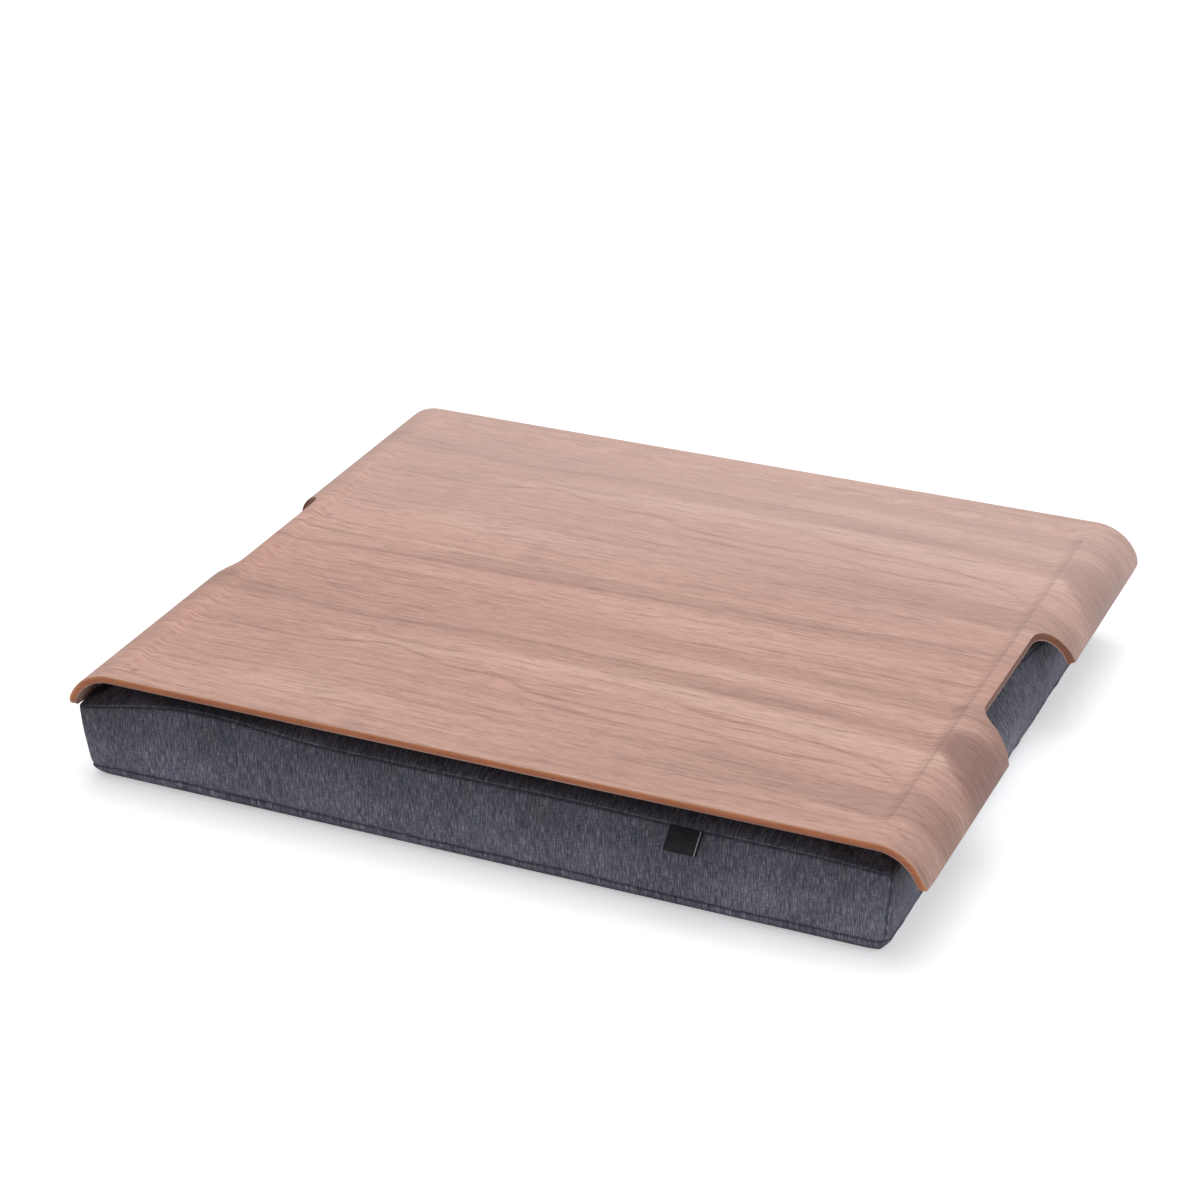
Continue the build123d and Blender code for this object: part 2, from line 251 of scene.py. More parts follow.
# The cover: a boxed slip of heathered wool-look cloth, five side strips between a top and a foot panel.
# Its seams are turned in, so each shows as a thin sunk line, and the beads puff out the cloth between.
CLOTH_DARK = (0.034, 0.034, 0.047, 1.0)
CLOTH_MIDDLE = (0.106, 0.104, 0.130, 1.0)
CLOTH_LIGHT = (0.330, 0.320, 0.355, 1.0)
CLOTH_BLUE = (0.072, 0.078, 0.112, 1.0)
CLOTH_BROWN = (0.135, 0.116, 0.122, 1.0)
PATCH_DARK = (0.86, 0.86, 0.86, 1.0)
PATCH_LIGHT = (1.08, 1.08, 1.10, 1.0)
SEAM_SHADOW = (0.010, 0.010, 0.015, 1.0)
# Painted light and shade: the sides lighter at the foot and darker at the top seam, the top panel darker still.
SHADING_FROM, LIGHT_AT_FOOT, SHADE_AT_SEAM = 0.002, 1.60, 0.84
TOP_SHADE, CROWN_SHADE = 0.80, 0.58
CROWN_FROM, CROWN_TO = 0.001, 0.006  # above the top seam, where the crown's painted shade begins and is full
UP_FROM, UP_TO = 0.30, 0.60  # how far the cloth faces up where the top panel's painted shade begins and is full
GRID_STEP = 0.005
CLOTH_HAIR = 1e-5
SEAM_HALF_WIDTH, SEAM_DEPTH = 0.0010, 0.0012
SHOULDER_RUN, SHOULDER_ARCH = 0.026, 0.0022  # from the top seam in to the flat crown
FOOT_RUN, FOOT_ARCH = 0.007, 0.0016  # from the foot seam in to the floor
SIDE_BULGE = 0.0018
TOP_PUFF = 0.0020  # the crown rises this far between the strips that hold it
STRIP_HOLD, STRIP_HOLD_REACH = 0.004, 0.022  # no rise this near to a strip, full rise this much further
CROWN_CLEAR = 0.0001  # under the tray's strips
TOP_ROUND, FOOT_ROUND = 0.003, 0.009  # plan radius of the corners at the two seams
PUFF_FRAMES = 20
SIDE_GIVE, CROWN_GIVE = 0.0015, 0.004  # how far the filling may push the cloth
CORNER_REACH = 0.060  # no beads get this near to a corner, so the cloth droops there
DROOP_FRONT_LEFT, DROOP_FRONT_RIGHT, DROOP_BACK = 0.0082, 0.0022, 0.0030
FRONT_RISE_AT, FRONT_RISE_REACH, FRONT_RISE = -0.150, 0.070, 0.0040
FRONT_RISE_DEPTH, SEAM_REACH = 0.050, 0.030  # it stays this near to the front, and dies away from the seam
PUSH, PUSH_ALONG_FRONT, PUSH_ALONG_SIDE = 0.0062, 0.080, 0.045  # of the front left corner
WAVES = ((14.0, 0.0007), (45.0, 0.00035))  # how many to the metre, and how high
GATHER, GATHER_REACH = 0.0009, 0.012
GATHERS_ALONG, GATHERS_UP = 110.0, 12.0  # to the metre
WANDER, WANDERS_PER_METRE = 0.0012, 9.0
SLOT_DEPTH, SLOT_RIM, SLOT_LIP = 0.0011, 0.0002, 0.001
SLOT_STILL, BACK_SKIN, ZIP_STILL = 0.012, 0.002, 0.006  # the cloth that the zip holds still
ON_FLOOR = 0.0002

(left, front, _), (right, back, crown_height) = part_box("cover_top_panel")
foot_seam, top_seam = (corner[2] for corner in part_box("cover_front_panel"))
foot_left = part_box("cover_bottom_panel")[0][0]
middle = ((left + right) / 2, (front + back) / 2)
half = ((right - left) / 2, (back - front) / 2)
slot_low, slot_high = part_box("zip_teeth_lower")[0][2] - SLOT_LIP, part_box("zip_teeth_upper")[1][2] + SLOT_LIP
slot_left, slot_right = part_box("zip_bottom_stop")[0][0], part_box("zip_top_stops")[1][0]

cloth = block(Vector((left, front, foot_seam)), Vector((right, back, top_seam)))


def faces_facing(form, direction):
    """Faces whose normal points along a direction."""
    form.normal_update()
    return [face for face in form.faces if face.normal.dot(Vector(direction)) > 0.99]


bmesh.ops.inset_region(
    cloth, faces=faces_facing(cloth, (0, 0, 1)), thickness=SHOULDER_RUN, depth=crown_height - top_seam
)
bmesh.ops.inset_region(cloth, faces=faces_facing(cloth, (0, 0, -1)), thickness=FOOT_RUN, depth=foot_seam)
# Narrow rows of cloth lie on both sides of each seam, and an even grid between them.
low, high = left + SEAM_HALF_WIDTH, right - SEAM_HALF_WIDTH
cut_at(cloth, [low, high] + steps_between(low, high, GRID_STEP), ALONG_X)
cut_at(cloth, [slot_left, slot_right], ALONG_X)
low, high = front + SEAM_HALF_WIDTH, back - SEAM_HALF_WIDTH
cut_at(cloth, [low, high] + steps_between(low, high, GRID_STEP), ALONG_Y)
side_low, side_high = foot_seam + SEAM_HALF_WIDTH, top_seam - SEAM_HALF_WIDTH
under_foot, over_top = foot_seam - SEAM_HALF_WIDTH, top_seam + SEAM_HALF_WIDTH / 3
cut_at(cloth, [under_foot, side_low, side_high, over_top, slot_low, slot_high], ALONG_Z)
for low, high in ((side_low, slot_low), (slot_low, slot_high), (slot_high, side_high)):
    cut_at(cloth, steps_between(low, high, GRID_STEP), ALONG_Z)
bmesh.ops.remove_doubles(cloth, verts=cloth.verts, dist=CLOTH_HAIR)

# Each panel is noted before the form goes soft, because the weave follows the panels.
PANELS = {"top": 0, "foot": 1, "front": 2, "back": 3, "left": 4, "right": 5, "slot": 6}
panel_of = cloth.faces.layers.int.new("panel")
cloth.normal_update()
for face in cloth.faces:
    centre = face.calc_center_median()
    if centre.z > top_seam:
        face[panel_of] = PANELS["top"]
    elif centre.z < foot_seam:
        face[panel_of] = PANELS["foot"]
    elif abs(face.normal.y) > 0.5:
        on_slot = slot_low < centre.z < slot_high and slot_left < centre.x < slot_right and face.normal.y > 0
        face[panel_of] = PANELS["slot" if on_slot else "front" if face.normal.y < 0 else "back"]
    else:
        face[panel_of] = PANELS["left" if face.normal.x < 0 else "right"]

# The seams and what the zip and the floor hold still are marked with weights.
weights = cloth.verts.layers.deform.verify()
seam_mark = cloth.verts.layers.float.new("seam")
for vert in cloth.verts:
    panels = {face[panel_of] for face in vert.link_faces}
    on_seam = len(panels) > 1
    vert[seam_mark] = 1.0 if on_seam and PANELS["slot"] not in panels else 0.0
    held = on_seam or PANELS["slot"] in panels or vert.co.z < ON_FLOOR
    near_slot = abs(vert.co.z - (slot_low + slot_high) / 2) < SLOT_STILL and vert.co.y > back - 2 * BACK_SKIN
    vert[weights][0] = 1.0 if held or near_slot else 0.0


def swell(point, up):
    """The sides drawn in toward the foot and swelling between the seams, at a share of the way up."""
    draw = (foot_left - left) * (1.0 - up)
    bulge = SIDE_BULGE * (1.0 - (2.0 * up - 1.0) ** 2)
    out_x, out_y = (point.x - middle[0]) / half[0], (point.y - middle[1]) / half[1]
    # The swelling dies away toward the corners, where the seams hold the cloth flat.
    bulge_x, bulge_y = bulge * (1.0 - out_y**6), bulge * (1.0 - out_x**6)
    return Vector((point.x + out_x * (bulge_x - draw), point.y + out_y * (bulge_y - draw), point.z))


def round_corner(point, middle, half, radius):
    """Draws a point near a corner of a rectangle, seen from above, onto the corner's round."""
    straight = [size - radius for size in half]
    over = [abs(point[axis] - middle[axis]) - straight[axis] for axis in (0, 1)]
    if min(over) > 0.0:
        shrink = max(over) / sqrt(over[0] ** 2 + over[1] ** 2)
        for axis in (0, 1):
            side = 1 if point[axis] > middle[axis] else -1
            point[axis] = middle[axis] + side * (straight[axis] + over[axis] * shrink)


def arch(share):
    """0 at both ends of a run and 1 in its middle."""
    return 4.0 * share * (1.0 - share)


for vert in cloth.verts:
    up = within((vert.co.z - foot_seam) / (top_seam - foot_seam))
    round_corner(vert.co, middle, half, FOOT_ROUND + (TOP_ROUND - FOOT_ROUND) * up)
    vert.co = swell(vert.co, up)
    # The shoulder and the foot curve over in place of running straight.
    edges = [max(0.0, half[axis] - abs(vert.co[axis] - middle[axis])) for axis in (0, 1)]
    if vert.co.z > top_seam and min(edges) < SHOULDER_RUN:
        slack = smooth_step(sqrt(edges[0] ** 2 + edges[1] ** 2) / CORNER_REACH)
        vert.co.z += SHOULDER_ARCH * arch(min(edges) / SHOULDER_RUN) * slack
    if ON_FLOOR < vert.co.z < foot_seam:
        vert.co.z -= FOOT_ARCH * arch(1.0 - vert.co.z / foot_seam)

cover = link_piece("cushion_cover", cloth)
cover_mesh = cover.data
cover.vertex_groups.new(name="held")

puffing = cover.modifiers.new("puffing", "CLOTH")
puffing.settings.use_pressure = True
puffing.settings.uniform_pressure_force = 4.0
puffing.settings.vertex_group_mass = "held"
puffing.settings.quality = 5
puffing.settings.tension_stiffness = 20.0
puffing.settings.compression_stiffness = 20.0
puffing.settings.shear_stiffness = 8.0
puffing.settings.bending_stiffness = 2.0
puffing.settings.effector_weights.gravity = 0.0
puffing.collision_settings.use_collision = False
puffing.collision_settings.use_self_collision = False
scene = bpy.context.scene
for moment in range(1, PUFF_FRAMES + 1):
    scene.frame_set(moment)
settled = cover.evaluated_get(bpy.context.evaluated_depsgraph_get())
soft_places = [vert.co.copy() for vert in settled.data.vertices]
cover.modifiers.remove(puffing)
scene.frame_set(1)

strip_boxes = [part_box(f"loop_strip_{number}") for number in range(1, 5)]


def crown_limit(point):
    """How high the crown may stand: low under the strips that hold it, higher between them."""
    nearest = 1.0
    for low, high in strip_boxes:
        away_x = max(low[0] - point.x, 0.0, point.x - high[0])
        away_y = max(low[1] - point.y, 0.0, point.y - high[1])
        nearest = min(nearest, sqrt(away_x**2 + away_y**2))
    return crown_height - CROWN_CLEAR + TOP_PUFF * smooth_step((nearest - STRIP_HOLD) / STRIP_HOLD_REACH)


cloth = bmesh.new()
cloth.from_mesh(cover_mesh)
panel_of = cloth.faces.layers.int["panel"]
seam_mark = cloth.verts.layers.float["seam"]
cloth.verts.ensure_lookup_table()
for vert, soft in zip(cloth.verts, soft_places):
    move = soft - vert.co
    give = SIDE_GIVE if foot_seam < vert.co.z < top_seam else CROWN_GIVE
    if move.length > give:
        move *= give / move.length
    vert.co += move

# Slack in the cloth: slow waves over the panels, and small gathers that die away from the seams.
cloth.normal_update()
moves = []
for vert in cloth.verts:
    place = vert.co
    waves = sum(noise.noise(place * per_metre) * size for per_metre, size in WAVES)
    gathers = Vector(((place.x + place.y) * GATHERS_ALONG, place.z * GATHERS_UP, 3.0))
    to_seam = min(abs(place.z - top_seam), abs(place.z - foot_seam))
    gather = noise.noise(gathers) * GATHER * near(to_seam, GATHER_REACH)
    near_zip = place.y > back - BACK_SKIN and slot_low - ZIP_STILL < place.z < slot_high + ZIP_STILL
    lift = 0.0 if near_zip or place.z < 2 * ON_FLOOR else waves + gather
    moves.append(vert.normal * (lift - SEAM_DEPTH * vert[seam_mark]))
for vert, move in zip(cloth.verts, moves):
    vert.co += move
    wander = noise.noise(Vector((vert.co.x * WANDERS_PER_METRE, vert.co.y * WANDERS_PER_METRE, 7.0))) * WANDER
    to_left, to_right = vert.co.x - left, right - vert.co.x
    to_front, to_back = vert.co.y - front, back - vert.co.y
    for out_x, out_y, droop in (
        (to_left, to_front, DROOP_FRONT_LEFT),
        (to_right, to_front, DROOP_FRONT_RIGHT),
        (to_left, to_back, DROOP_BACK),
        (to_right, to_back, DROOP_BACK),
    ):
        wander -= droop * hollow(sqrt(out_x**2 + out_y**2), CORNER_REACH)
    if to_front < FRONT_RISE_DEPTH:
        rise = FRONT_RISE * smooth_step(near(abs(vert.co.x - FRONT_RISE_AT), FRONT_RISE_REACH))
        wander += rise * near(min(to_left, to_right, to_front, to_back), SEAM_REACH)
    # The front left corner is pushed out, and the seam rolls inward at the finger cuts.
    pushed = PUSH * smooth_step(near(to_left, PUSH_ALONG_FRONT))
    pushed *= smooth_step(near(to_front, PUSH_ALONG_SIDE))
    roll_right, roll_left = worn_in(vert.co, (right, left), top_seam)
    vert.co.x += WORN_IN * (roll_left - roll_right) - pushed
    wander += WORN_UP * (roll_left + roll_right)
    on_back = vert.co.y > back - 2 * BACK_SKIN and vert.co.z < top_seam - ZIP_STILL
    if vert.co.z > foot_seam / 2 and not on_back:
        vert.co.z += wander * min(1.0, vert.co.z / top_seam)
    vert.co.z = within(vert.co.z, 0.0, crown_limit(vert.co))

slot_faces = [face for face in cloth.faces if face[panel_of] == PANELS["slot"]]
bmesh.ops.inset_region(cloth, faces=slot_faces, thickness=SLOT_RIM, depth=-SLOT_DEPTH)


def lay_map(form, rule):
    """Lays out the piece's own UV map, in metres, by a rule for each corner's place and face."""
    sheet_map = form.loops.layers.uv.new("cloth")
    for face in form.faces:
        for loop in face.loops:
            loop[sheet_map].uv = rule(loop.vert.co, face)


def weave_place(place, face):
    """The weave lies straight on each panel, in metres."""
    panel = face[panel_of]
    if panel in (PANELS["top"], PANELS["foot"]):
        return place.x + panel, place.y
    if panel in (PANELS["left"], PANELS["right"]):
        return place.y + panel, place.z
    return place.x + panel, place.z


lay_map(cloth, weave_place)
for face in cloth.faces:
    face.smooth = True
cloth.to_mesh(cover_mesh)
cloth.free()
soften = cover.modifiers.new("soften", "SUBSURF")
soften.levels = soften.render_levels = 1


def sheet_place(tree):
    """The piece's own UV map, laid out in metres along and across the cloth or veneer."""
    return add_node(tree, "ShaderNodeUVMap", uv_map="cloth").outputs["UV"]


def split(tree, vector):
    """The X, Y and Z of a vector."""
    return add_node(tree, "ShaderNodeSeparateXYZ", {"Vector": vector}).outputs[:]


def marked(tree, name):
    """A mark that the mesh carries at its vertices."""
    return add_node(tree, "ShaderNodeAttribute", attribute_name=name).outputs["Fac"]


def eased(tree, value, low, high, at_low=0.0, at_high=1.0):
    """A value carried smoothly from one range to another and held past both ends."""
    inputs = dict(enumerate((value, low, high, at_low, at_high)))
    return add_node(tree, "ShaderNodeMapRange", inputs, interpolation_type="SMOOTHSTEP").outputs["Result"]


def weighted(tree, *terms):
    """The sum of (value, weight) terms."""
    total, *others = [times(tree, value, weight) for value, weight in terms]
    for other in others:
        total = maths(tree, "ADD", total, other)
    return total


heather, tree, shader = start_material("heathered cover cloth", 0.92, sheen=0.05, specular=0.15)
place = sheet_place(tree)
warp = streaks(tree, place, (2300.0, 210.0, 1.0), detail=1.0)
weft = streaks(tree, place, (300.0, 2100.0, 1.0), detail=1.0, shift=(5.0, 2.0, 0.0))
slub = streaks(tree, place, (1500.0, 75.0, 1.0), detail=1.0, shift=(1.0, 7.0, 0.0))
patch = streaks(tree, place, (26.0, 18.0, 1.0), detail=3.0)
tint = streaks(tree, place, (420.0, 60.0, 1.0), detail=2.0, shift=(3.0, 1.0, 0.0))
threads = weighted(tree, (warp, 0.46), (weft, 0.26), (slub, 0.28))
colour = ramp(tree, threads, (0.37, CLOTH_DARK), (0.50, CLOTH_MIDDLE), (0.64, CLOTH_LIGHT))
hue = ramp(tree, tint, (0.40, CLOTH_BLUE), (0.50, CLOTH_MIDDLE), (0.62, CLOTH_BROWN))
colour = mix_colour(tree, 0.30, colour, hue)
shade = ramp(tree, patch, (0.35, PATCH_DARK), (0.65, PATCH_LIGHT))
colour = mix_colour(tree, 1.0, colour, shade, how="MULTIPLY")
# Painted light and shade: the sides are painted lighter toward the foot, where the floor lights them,
# and darker toward the top seam, in the shade under the tray. The panel that faces up is painted
# darker still, as shade under the tray, and darkest on its crown.
height = split(tree, object_place(tree))[2]
faces_up = split(tree, add_node(tree, "ShaderNodeTexCoord").outputs["Normal"])[2]
top_panel_shade = times(
    tree,
    eased(tree, faces_up, UP_FROM, UP_TO, 1.0, TOP_SHADE),
    eased(tree, height, top_seam + CROWN_FROM, top_seam + CROWN_TO, 1.0, CROWN_SHADE),
)
painted_shading = times(tree, eased(tree, height, SHADING_FROM, top_seam, LIGHT_AT_FOOT, SHADE_AT_SEAM), top_panel_shade)
shaded = add_node(tree, "ShaderNodeVectorMath", {0: colour, "Scale": painted_shading}, operation="SCALE")
in_seam = times(tree, marked(tree, "seam"), 0.7)
colour = mix_colour(tree, in_seam, shaded.outputs["Vector"], SEAM_SHADOW)
tree.links.new(colour, shader.inputs["Base Color"])
raise_surface(tree, shader, threads, 0.0004, strength=0.6)
cover_mesh.materials.append(heather)
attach(cover, "cushion")
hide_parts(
    "cover_top_panel",
    "cover_bottom_panel",
    "cover_front_panel",
    "cover_right_panel",
    "cover_left_panel",
    "cover_back_upper",
    "cover_back_lower",
)

# The side label: a short black satin ribbon, folded double, with its ends caught in the top seam.
# It is bare, and stands off the cover a little, with one thin pale line down beside its right edge.
RIBBON_BLACK = (0.008, 0.008, 0.009, 1.0)
RIBBON_SHEEN = (0.022, 0.022, 0.025, 1.0)
RIBBON_PALE_LINE = (0.30, 0.30, 0.31, 1.0)
RIBBON_STEP, RIBBON_ROW_SHARE = 0.0010, 0.05
RIBBON_THICK, RIBBON_LENGTH, RIBBON_BELLY = 0.0007, 0.0124, 0.0004
RIBBON_LEAN = radians(47.0)  # how far it stands out from the cover
RIBBON_BEND_SHARE = 0.18  # of its length, over which it turns out from the seam
FOLD_SHARE, FOLD_THICK_SHARE = 0.03, 0.6  # the fold at its foot is pressed thinner
PALE_LINE_PLACE, PALE_LINE_HALF = 0.0013, 0.00024  # from the right edge, and half its width

ribbon_low, ribbon_high = corners("side_label")
ribbon = block(Vector((ribbon_low.x, 0.0, 0.0)), Vector((ribbon_high.x, 1.0, 1.0)))
cut_at(ribbon, steps_between(ribbon_low.x, ribbon_high.x, RIBBON_STEP), ALONG_X)
cut_at(ribbon, steps_between(0.0, 1.0, RIBBON_ROW_SHARE), ALONG_Z)
fall = ribbon_high.z - ribbon_low.z
lay_map(ribbon, lambda place, face: (place.x - ribbon_high.x, place.z * fall))
for vert in ribbon.verts:
    x, layer, up = vert.co
    down = 1.0 - up
    lean = RIBBON_LEAN * min(1.0, down / RIBBON_BEND_SHARE)
    belly = RIBBON_BELLY * sin(pi * (x - ribbon_low.x) / (ribbon_high.x - ribbon_low.x))
    out = RIBBON_LENGTH * down * sin(lean) + belly
    thick = RIBBON_THICK * (1.0 if FOLD_SHARE < up else FOLD_THICK_SHARE)
    y = ribbon_high.y - RIBBON_THICK - out - thick * (1.0 - layer) * cos(lean)
    z = ribbon_high.z - RIBBON_LENGTH * down * cos(lean) - thick * layer * sin(lean)
    vert.co = Vector((x, y, z))
for face in ribbon.faces:
    face.smooth = True
side_ribbon = link_piece("side_ribbon", ribbon)

satin, tree, shader = start_material("label satin", 0.60, specular=0.15)
place = sheet_place(tree)
ribs = streaks(tree, place, (300.0, 4200.0, 1.0), detail=1.0)
blotch = streaks(tree, place, (160.0, 160.0, 1.0))
colour = ramp(tree, times(tree, ribs, blotch), (0.12, RIBBON_BLACK), (0.42, RIBBON_SHEEN))
# A thin pale line down near the right edge.
from_pale_line = maths(tree, "ABSOLUTE", maths(tree, "ADD", split(tree, place)[0], PALE_LINE_PLACE))
pale_line = maths(tree, "LESS_THAN", from_pale_line, PALE_LINE_HALF)
colour = mix_colour(tree, pale_line, colour, RIBBON_PALE_LINE)
tree.links.new(colour, shader.inputs["Base Color"])
raise_surface(tree, shader, ribs, 0.0002)
side_ribbon.data.materials.append(satin)
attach(side_ribbon, "cushion")
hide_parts("side_label")

# The zip at the back: two woven tapes with moulded coil teeth, closed end to end.
# The tapes are sewn in behind the slot's lips and follow the side where it draws in toward the foot.
TAPE_BLACK = (0.016, 0.016, 0.020, 1.0)
TAPE_GREY = (0.055, 0.056, 0.064, 1.0)
TEETH_DARK = (0.020, 0.020, 0.024, 1.0)
TEETH_LIGHT = (0.070, 0.071, 0.078, 1.0)
METAL_DARK = (0.10, 0.10, 0.11, 1.0)
METAL_LIGHT = (0.24, 0.24, 0.26, 1.0)
TAPE_THICK = 0.0005
TAPE_STEP, TAPE_ROW = 0.006, 0.002
TWILL_TURN, TWILLS_PER_METRE = 0.0012, 7000.0


def grey(value):
    """A neutral colour, or one value in a ramp."""
    return (value, value, value, 1.0)


def dress(node, material):
    """Gives a carried-over CAD node its finish."""
    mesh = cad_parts[node].data
    mesh.materials.clear()
    mesh.materials.append(material)


tape_cloth, tree, shader = start_material("woven zip tape", 0.85, sheen=0.1, specular=0.2)
place = sheet_place(tree)
along, up, _ = split(tree, place)
zigzag = maths(tree, "PINGPONG", up, TWILL_TURN)
twill = weighted(tree, (along, TWILLS_PER_METRE), (zigzag, TWILLS_PER_METRE))
twill = maths(tree, "MULTIPLY_ADD", maths(tree, "SINE", twill), 0.5, 0.5)
mixed = times(tree, twill, streaks(tree, place, (700.0, 900.0, 1.0)))
tree.links.new(ramp(tree, mixed, (0.10, TAPE_BLACK), (0.60, TAPE_GREY)), shader.inputs["Base Color"])
raise_surface(tree, shader, mixed, 0.0002)
for node in ("zip_tape_upper", "zip_tape_lower"):
    low, high = corners(node)
    tape = block(low, high)
    cut_at(tape, steps_between(low.x, high.x, TAPE_STEP), ALONG_X)
    cut_at(tape, steps_between(low.z, high.z, TAPE_ROW), ALONG_Z)
    lay_map(tape, lambda place, face: (place.x, place.z))
    for vert in tape.verts:
        share = (vert.co.z - low.z) / (high.z - low.z)
        inner = vert.co.y < (low.y + high.y) / 2
        vert.co.y = low.y + (high.y - low.y - TAPE_THICK) * share + (0.0 if inner else TAPE_THICK)
    woven = link_piece(f"woven_{node}", tape)
    woven.data.materials.append(tape_cloth)
    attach(woven, "cushion")
    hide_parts(node)

teeth_nylon, tree, shader = start_material("nylon teeth", 0.35)
worn = streaks(tree, object_place(tree), (500.0, 500.0, 500.0), detail=3.0)
tree.links.new(ramp(tree, worn, (0.35, TEETH_DARK), (0.70, TEETH_LIGHT)), shader.inputs["Base Color"])
tree.links.new(ramp(tree, worn, (0.30, grey(0.28)), (0.70, grey(0.50))), shader.inputs["Roughness"])
raise_surface(tree, shader, worn, 0.00008)
for node in ("zip_teeth_upper", "zip_teeth_lower"):
    dress(node, teeth_nylon)

zip_metal, tree, shader = start_material("dark plated zip metal", 0.3)
shader.inputs["Metallic"].default_value = 1.0
place = object_place(tree)
rubbed = streaks(tree, place, (260.0, 260.0, 260.0), detail=4.0)
scratches = streaks(tree, place, (2600.0, 900.0, 200.0))
tree.links.new(ramp(tree, rubbed, (0.38, METAL_DARK), (0.66, METAL_LIGHT)), shader.inputs["Base Color"])
tree.links.new(ramp(tree, scratches, (0.30, grey(0.24)), (0.70, grey(0.48))), shader.inputs["Roughness"])
raise_surface(tree, shader, scratches, 0.00004)
for node in ("zip_slider", "zip_pull", "zip_top_stops", "zip_bottom_stop"):
    dress(node, zip_metal)

# The fastening: four pairs of hook and loop strips between the cover's top and the tray's underside.
# Each is a short black strip with square stitching near its edge; the loops face up, the hooks down.
FUZZ_BLACK = (0.014, 0.014, 0.017, 1.0)
FUZZ_GREY = (0.060, 0.060, 0.068, 1.0)
STITCH_GREY = (0.095, 0.095, 0.105, 1.0)
STRIP_STEP = 0.0025
STRIP_CORNER = 0.004
STITCH_INSET, STITCH_WIDTH, STITCH_LENGTH = 0.0026, 0.00035, 0.0030
STITCH_GAP_SHARE = 0.2
LOOP_GRAIN, LOOP_DEPTH = 0.0008, 0.0004
HOOK_GRAIN, HOOK_DEPTH = 0.0013, 0.0003
PILE_SUNK, PILE_UNEVEN, PILE_PER_METRE = 0.00006, 0.00005, 900.0


def strip_cloth(name, grain_size, depth):
    """Black pile or hooks on a woven base, with a line of stitches round it."""
    material, tree, shader = start_material(name, 0.9, sheen=0.25, specular=0.2)
    place = sheet_place(tree)
    cells = add_node(tree, "ShaderNodeTexVoronoi", {"Vector": place, "Scale": 1.0 / grain_size})
    fuzz = streaks(tree, place, (1300.0, 1300.0, 1.0), detail=3.0)
    mixed = times(tree, cells.outputs["Distance"], fuzz)
    colour = ramp(tree, mixed, (0.10, FUZZ_BLACK), (0.45, FUZZ_GREY))
    x, y, _ = split(tree, place)
    from_end = maths(tree, "SUBTRACT", strip_half_x - STITCH_INSET, maths(tree, "ABSOLUTE", x))
    from_side = maths(tree, "SUBTRACT", strip_half_y - STITCH_INSET, maths(tree, "ABSOLUTE", y))
    line = maths(tree, "ABSOLUTE", maths(tree, "MINIMUM", from_end, from_side))
    line = maths(tree, "LESS_THAN", line, STITCH_WIDTH)
    run = maths(tree, "PINGPONG", maths(tree, "ADD", x, y), STITCH_LENGTH)
    line = times(tree, line, maths(tree, "GREATER_THAN", run, STITCH_LENGTH * STITCH_GAP_SHARE))
    tree.links.new(mix_colour(tree, line, colour, STITCH_GREY), shader.inputs["Base Color"])
    raise_surface(tree, shader, maths(tree, "SUBTRACT", mixed, line), depth)
    return material


def strip_piece(node, name, pile_side, material):
    """One strip with rounded corners and a slightly uneven pile face, turned up or down."""
    low, high = corners(node)
    middle = (low + high) / 2
    strip = block(low, high)
    cut_at(strip, steps_between(low.x, high.x, STRIP_STEP), ALONG_X)
    cut_at(strip, steps_between(low.y, high.y, STRIP_STEP), ALONG_Y)
    lay_map(strip, lambda place, face: (place.x - middle.x, place.y - middle.y))
    for vert in strip.verts:
        round_corner(vert.co, middle, (high - low).xy / 2, STRIP_CORNER)
        if (vert.co.z - middle.z) * pile_side > 0.0:
            uneven = PILE_UNEVEN * noise.noise(vert.co * PILE_PER_METRE)
            vert.co.z -= pile_side * (PILE_SUNK + uneven)
    piece = link_piece(name, strip)
    piece.data.materials.append(material)
    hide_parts(node)
    return piece


strip_low, strip_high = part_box("loop_strip_1")
strip_half_x, strip_half_y = ((strip_high[axis] - strip_low[axis]) / 2 for axis in (0, 1))
loop_pile = strip_cloth("loop pile", LOOP_GRAIN, LOOP_DEPTH)
hook_pile = strip_cloth("hook pile", HOOK_GRAIN, HOOK_DEPTH)
for number in range(1, 5):
    loops = strip_piece(f"loop_strip_{number}", f"loop_pile_{number}", 1, loop_pile)
    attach(loops, "cushion")
    hooks = strip_piece(f"hook_strip_{number}", f"hook_pile_{number}", -1, hook_pile)
    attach(hooks, "tray")

# The tray's core: three plies of beech, glued crosswise and moulded together under heat.
# Only their sanded edges show, as a laminated orange-brown line, with painted shade on them at the finger cuts.
FINGER_CUT_SHADE = (0.100, 0.050, 0.042, 1.0)
FINGER_SHADE_REACH, FINGER_SHADE_HALF = 0.022, 0.064  # the finger cuts' reach inboard and half length
FINGER_SHADE_SOFT, FINGER_SHADE_END = 0.002, 0.003  # how softly it begins inboard, and ends along the side
FINGER_SHADE_INNER, FINGER_SHADE_OUTER = 0.018, 0.012  # from the tip: the straight inner edge, and the flared ends
FINGER_SHADE_SHARE, FLARE_SHARE = 0.74, 0.72
PLY_TINTS = {
    "tray_core_ply_1": ((0.48, 0.170, 0.078, 1.0), (0.61, 0.232, 0.108, 1.0)),
    "tray_core_ply_2": ((0.40, 0.124, 0.052, 1.0), (0.53, 0.176, 0.078, 1.0)),
    "tray_core_ply_3": ((0.37, 0.113, 0.052, 1.0), (0.50, 0.168, 0.080, 1.0)),
}

tray_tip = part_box("tray_face_veneer")[1][0]


def past(tree, value, edge, reach, before=0.0, after=1.0):
    """A change from one value to another at an edge, over a short reach on both sides of it."""
    return eased(tree, value, edge - reach, edge + reach, before, after)


